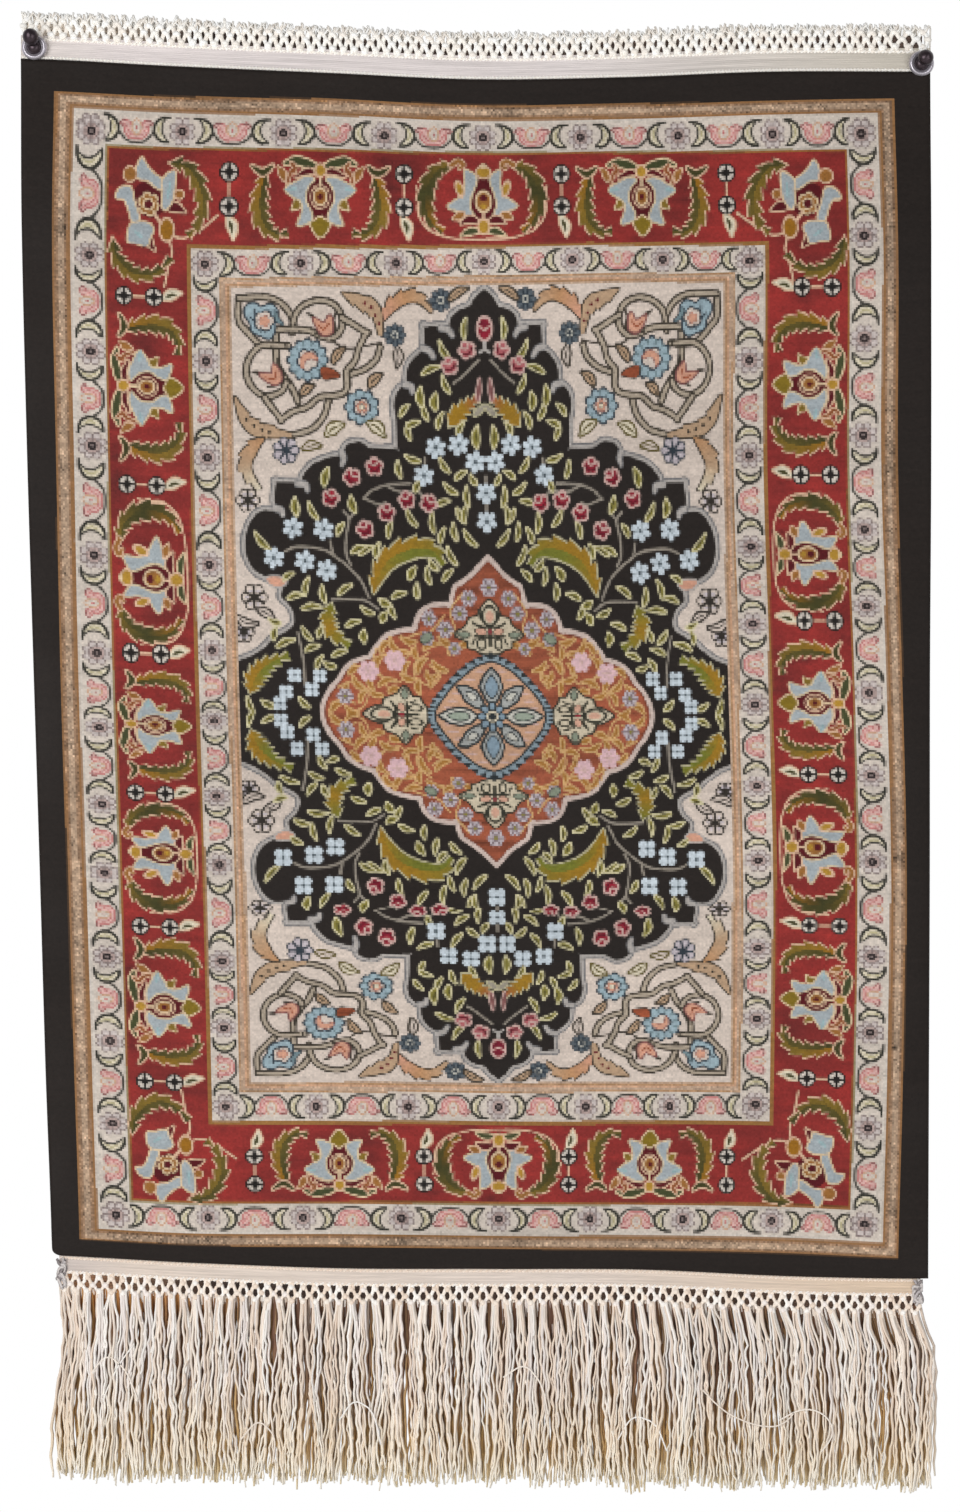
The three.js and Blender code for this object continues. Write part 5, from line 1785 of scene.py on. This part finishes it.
def cloth_finish(name, attribute, grain, bump, roughness, sheen):
    """A cloth whose colour attribute is broken up by the grain group, which also roughens it."""
    finish = Finish(name, {"Specular IOR Level": 0.15, **sheen})
    broken = finish.node("Group", grain, node_tree=bpy.data.node_groups["fibre_grain"])
    colour = finish.node("Attribute", attribute_name=attribute)
    shaded = finish.node("VectorMath", operation="SCALE")
    rise = finish.node("Bump", {"Strength": bump, "Distance": 0.3 * MM})
    rough = finish.node("MapRange", {"To Min": roughness - 0.12, "To Max": roughness + 0.12})
    finish.join(colour, "Color", shaded, 0)
    finish.join(broken, "Tone", shaded, "Scale")
    finish.join(shaded, 0, finish.shader, "Base Color")
    finish.join(broken, "Height", rise, "Height")
    finish.join(rise, "Normal", finish.shader, "Normal")
    finish.join(broken, "Patches", rough, "Value")
    finish.join(rough, "Result", finish.shader, "Roughness")
    return finish.material


def pin_finish():
    finish = Finish("pin_steel", {"Metallic": 0.75, "Roughness": 0.34})
    colour = finish.node("Attribute", attribute_name="pin_colour")
    finish.join(colour, "Color", finish.shader, "Base Color")
    return finish.material


# Light, floor and surroundings
AREA_LIGHTS = [
    {"name": "key", "place": (-1.1, -1.9, -0.1), "size": 1.2, "watts": 30},
    {"name": "fill", "place": (1.2, -1.8, -0.5), "size": 1.4, "watts": 15.5},
]
FLOOR = {"height": -1600, "half_width": 4.2}


def add_lights():
    for row in AREA_LIGHTS:
        data = bpy.data.lights.new(row["name"], "AREA")
        data.size = row["size"]
        data.energy = row["watts"]
        light = bpy.data.objects.new(row["name"], data)
        light.location = row["place"]
        aim = Vector((0, 0, CAMERA["z"] * MM)) - light.location
        light.rotation_euler = aim.to_track_quat("-Z", "Y").to_euler()
        bpy.context.scene.collection.objects.link(light)


def add_surroundings():
    """White behind the carpet; what the gloss reflects is darker on the camera's side."""
    world = bpy.data.worlds.new("surroundings")
    world.use_nodes = True
    bpy.context.scene.world = world
    nodes = Nodes(world.node_tree)
    background = nodes.tree.nodes["Background"]
    seen = nodes.node("LightPath")
    place = nodes.node("TexCoord")
    split = nodes.node("SeparateXYZ")
    towards = nodes.node("MapRange", {"From Min": -1, "From Max": 1})
    choice = nodes.node("Mix", {"B": (1, 1, 1, 1)}, data_type="RGBA")
    ramp = nodes.node("ValToRGB")
    steps = ramp.color_ramp.elements
    steps[0].position = 0.1
    steps[0].color = (0.08, 0.076, 0.08, 1)
    steps[1].position = 0.5
    steps[1].color = (0.4, 0.4, 0.4, 1)
    steps.new(0.75).color = (0.95, 0.95, 0.95, 1)
    nodes.join(place, "Generated", split, 0)
    nodes.join(split, "Y", towards, "Value")
    nodes.join(towards, "Result", ramp, "Fac")
    nodes.join(ramp, "Color", choice, "A")
    nodes.join(seen, "Is Camera Ray", choice, "Factor")
    nodes.join(choice, "Result", background, "Color")


def add_floor():
    bm = bmesh.new()
    bmesh.ops.create_grid(bm, x_segments=1, y_segments=1, size=FLOOR["half_width"])
    bmesh.ops.translate(bm, verts=bm.verts[:], vec=(0, 0, FLOOR["height"] * MM))
    floor = new_object("floor", mesh_of(bm, "floor"))
    finish = Finish("floor", {"Base Color": (0.85, 0.84, 0.82, 1), "Roughness": 0.8})
    floor.data.materials.append(finish.material)


def dress(piece, material, slot_name, *nodes):
    piece.data.materials.append(material)
    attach(piece, "root")
    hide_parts(*nodes)


bpy.context.scene.view_settings.view_transform = "Standard"
add_camera()
add_lights()
add_surroundings()
add_floor()
add_grain()
silk_sheen = {"Sheen Weight": 0.02, "Sheen Roughness": 0.4}
silk = cloth_finish("silk_pile", "knot_colour", SILK_GRAIN, 0.35, 0.62, silk_sheen)
yarn = cloth_finish("fringe_yarn", "yarn_colour", YARN_GRAIN, 0.3, 0.5, {"Sheen Weight": 0.15})
weave = cloth_finish("flat_weave", "weave_colour", WEAVE_GRAIN, 0.4, 0.66, {})
steel = pin_finish()

random = np.random.default_rng(SEED)
knots = woven_pattern()
unevenness = random.normal(0, PILE_UNEVEN, (KNOTS_DOWN + 1, KNOTS_ACROSS + 1))
shifts = [(up, over) for up in (-1, 0, 1) for over in (-1, 0, 1)]
back_knots = sum(np.roll(knots, shift, (0, 1)) for shift in shifts) / len(shifts) * BACK_TONE + BACK_LIFT
for number in range(STRIPS):
    strip = pile_strip(number, knots, unevenness, back_knots)
    dress(strip, silk, "silk_pile", "carpet")

top_end = flat_end("top_flat_weave", PILE_LENGTH, PILE_LENGTH + TOP_END, 0, random)
bottom_end = flat_end("bottom_flat_weave", -BOTTOM_END, 0, BOTTOM_END_INSET, random)
dress(top_end, weave, "fringe_yarn", "carpet")
dress(bottom_end, weave, "fringe_yarn", "carpet")

top_edge = PILE_LENGTH + TOP_END + GAP
bottom_edge = -BOTTOM_END - GAP
top_net = net_cords("top_net", TOP_BUNDLES, 0, top_edge, [0.5, 4.2, 7.6], 1.2, 2.0, TOP_CREAM, random)
bottom_net = net_cords(
    "bottom_net", BOTTOM_BUNDLES, BOTTOM_END_INSET, bottom_edge, [1.6, 5.2, 8.4], 0.95, 1.6, CREAM, random
)
top_cord_places = [(PILE_LENGTH + 0.9, 1.0), (PILE_LENGTH + TOP_END - 1.8, 1.0)]
bottom_cord_places = [(-0.9, 1.0), (0.4 - BOTTOM_END, 0.9)]
top_cords = twined_cord("top_twining", top_cord_places, 0.5, 1.0, TOP_CREAM, random)
bottom_cords = twined_cord("bottom_twining", bottom_cord_places, 4.5, 1.0, CREAM, random)
top_places = top_edge + np.array([0.2, 1.8, 3.6, 5.2])
bottom_places = bottom_edge - np.array([0.9, 2.5, 4.4, 6.0])
top_shadow_backing = net_shadow_backing("top_shadow_backing", top_places, 3, TOP_GAP_SHADOWS)
bottom_shadow_backing = net_shadow_backing("bottom_shadow_backing", bottom_places, 8, BOTTOM_GAP_SHADOWS)
loose_bottom = bottom_yarns(random)
loose_top = top_yarns(random)
yarn_pieces = [(top_cords, "carpet"), (bottom_cords, "carpet"), (top_net, "fringe_top"),
               (bottom_net, "fringe_bottom")]
yarn_pieces += [(piece, "fringe_bottom") for piece in loose_bottom]
yarn_pieces += [(loose_top, "fringe_top"), (top_shadow_backing, "fringe_top"), (bottom_shadow_backing, "fringe_bottom")]
for piece, node in yarn_pieces:
    dress(piece, yarn, "fringe_yarn", node)
for name in PIN_PLACES:
    for piece in pin(name):
        dress(piece, steel, "pin_steel", name)
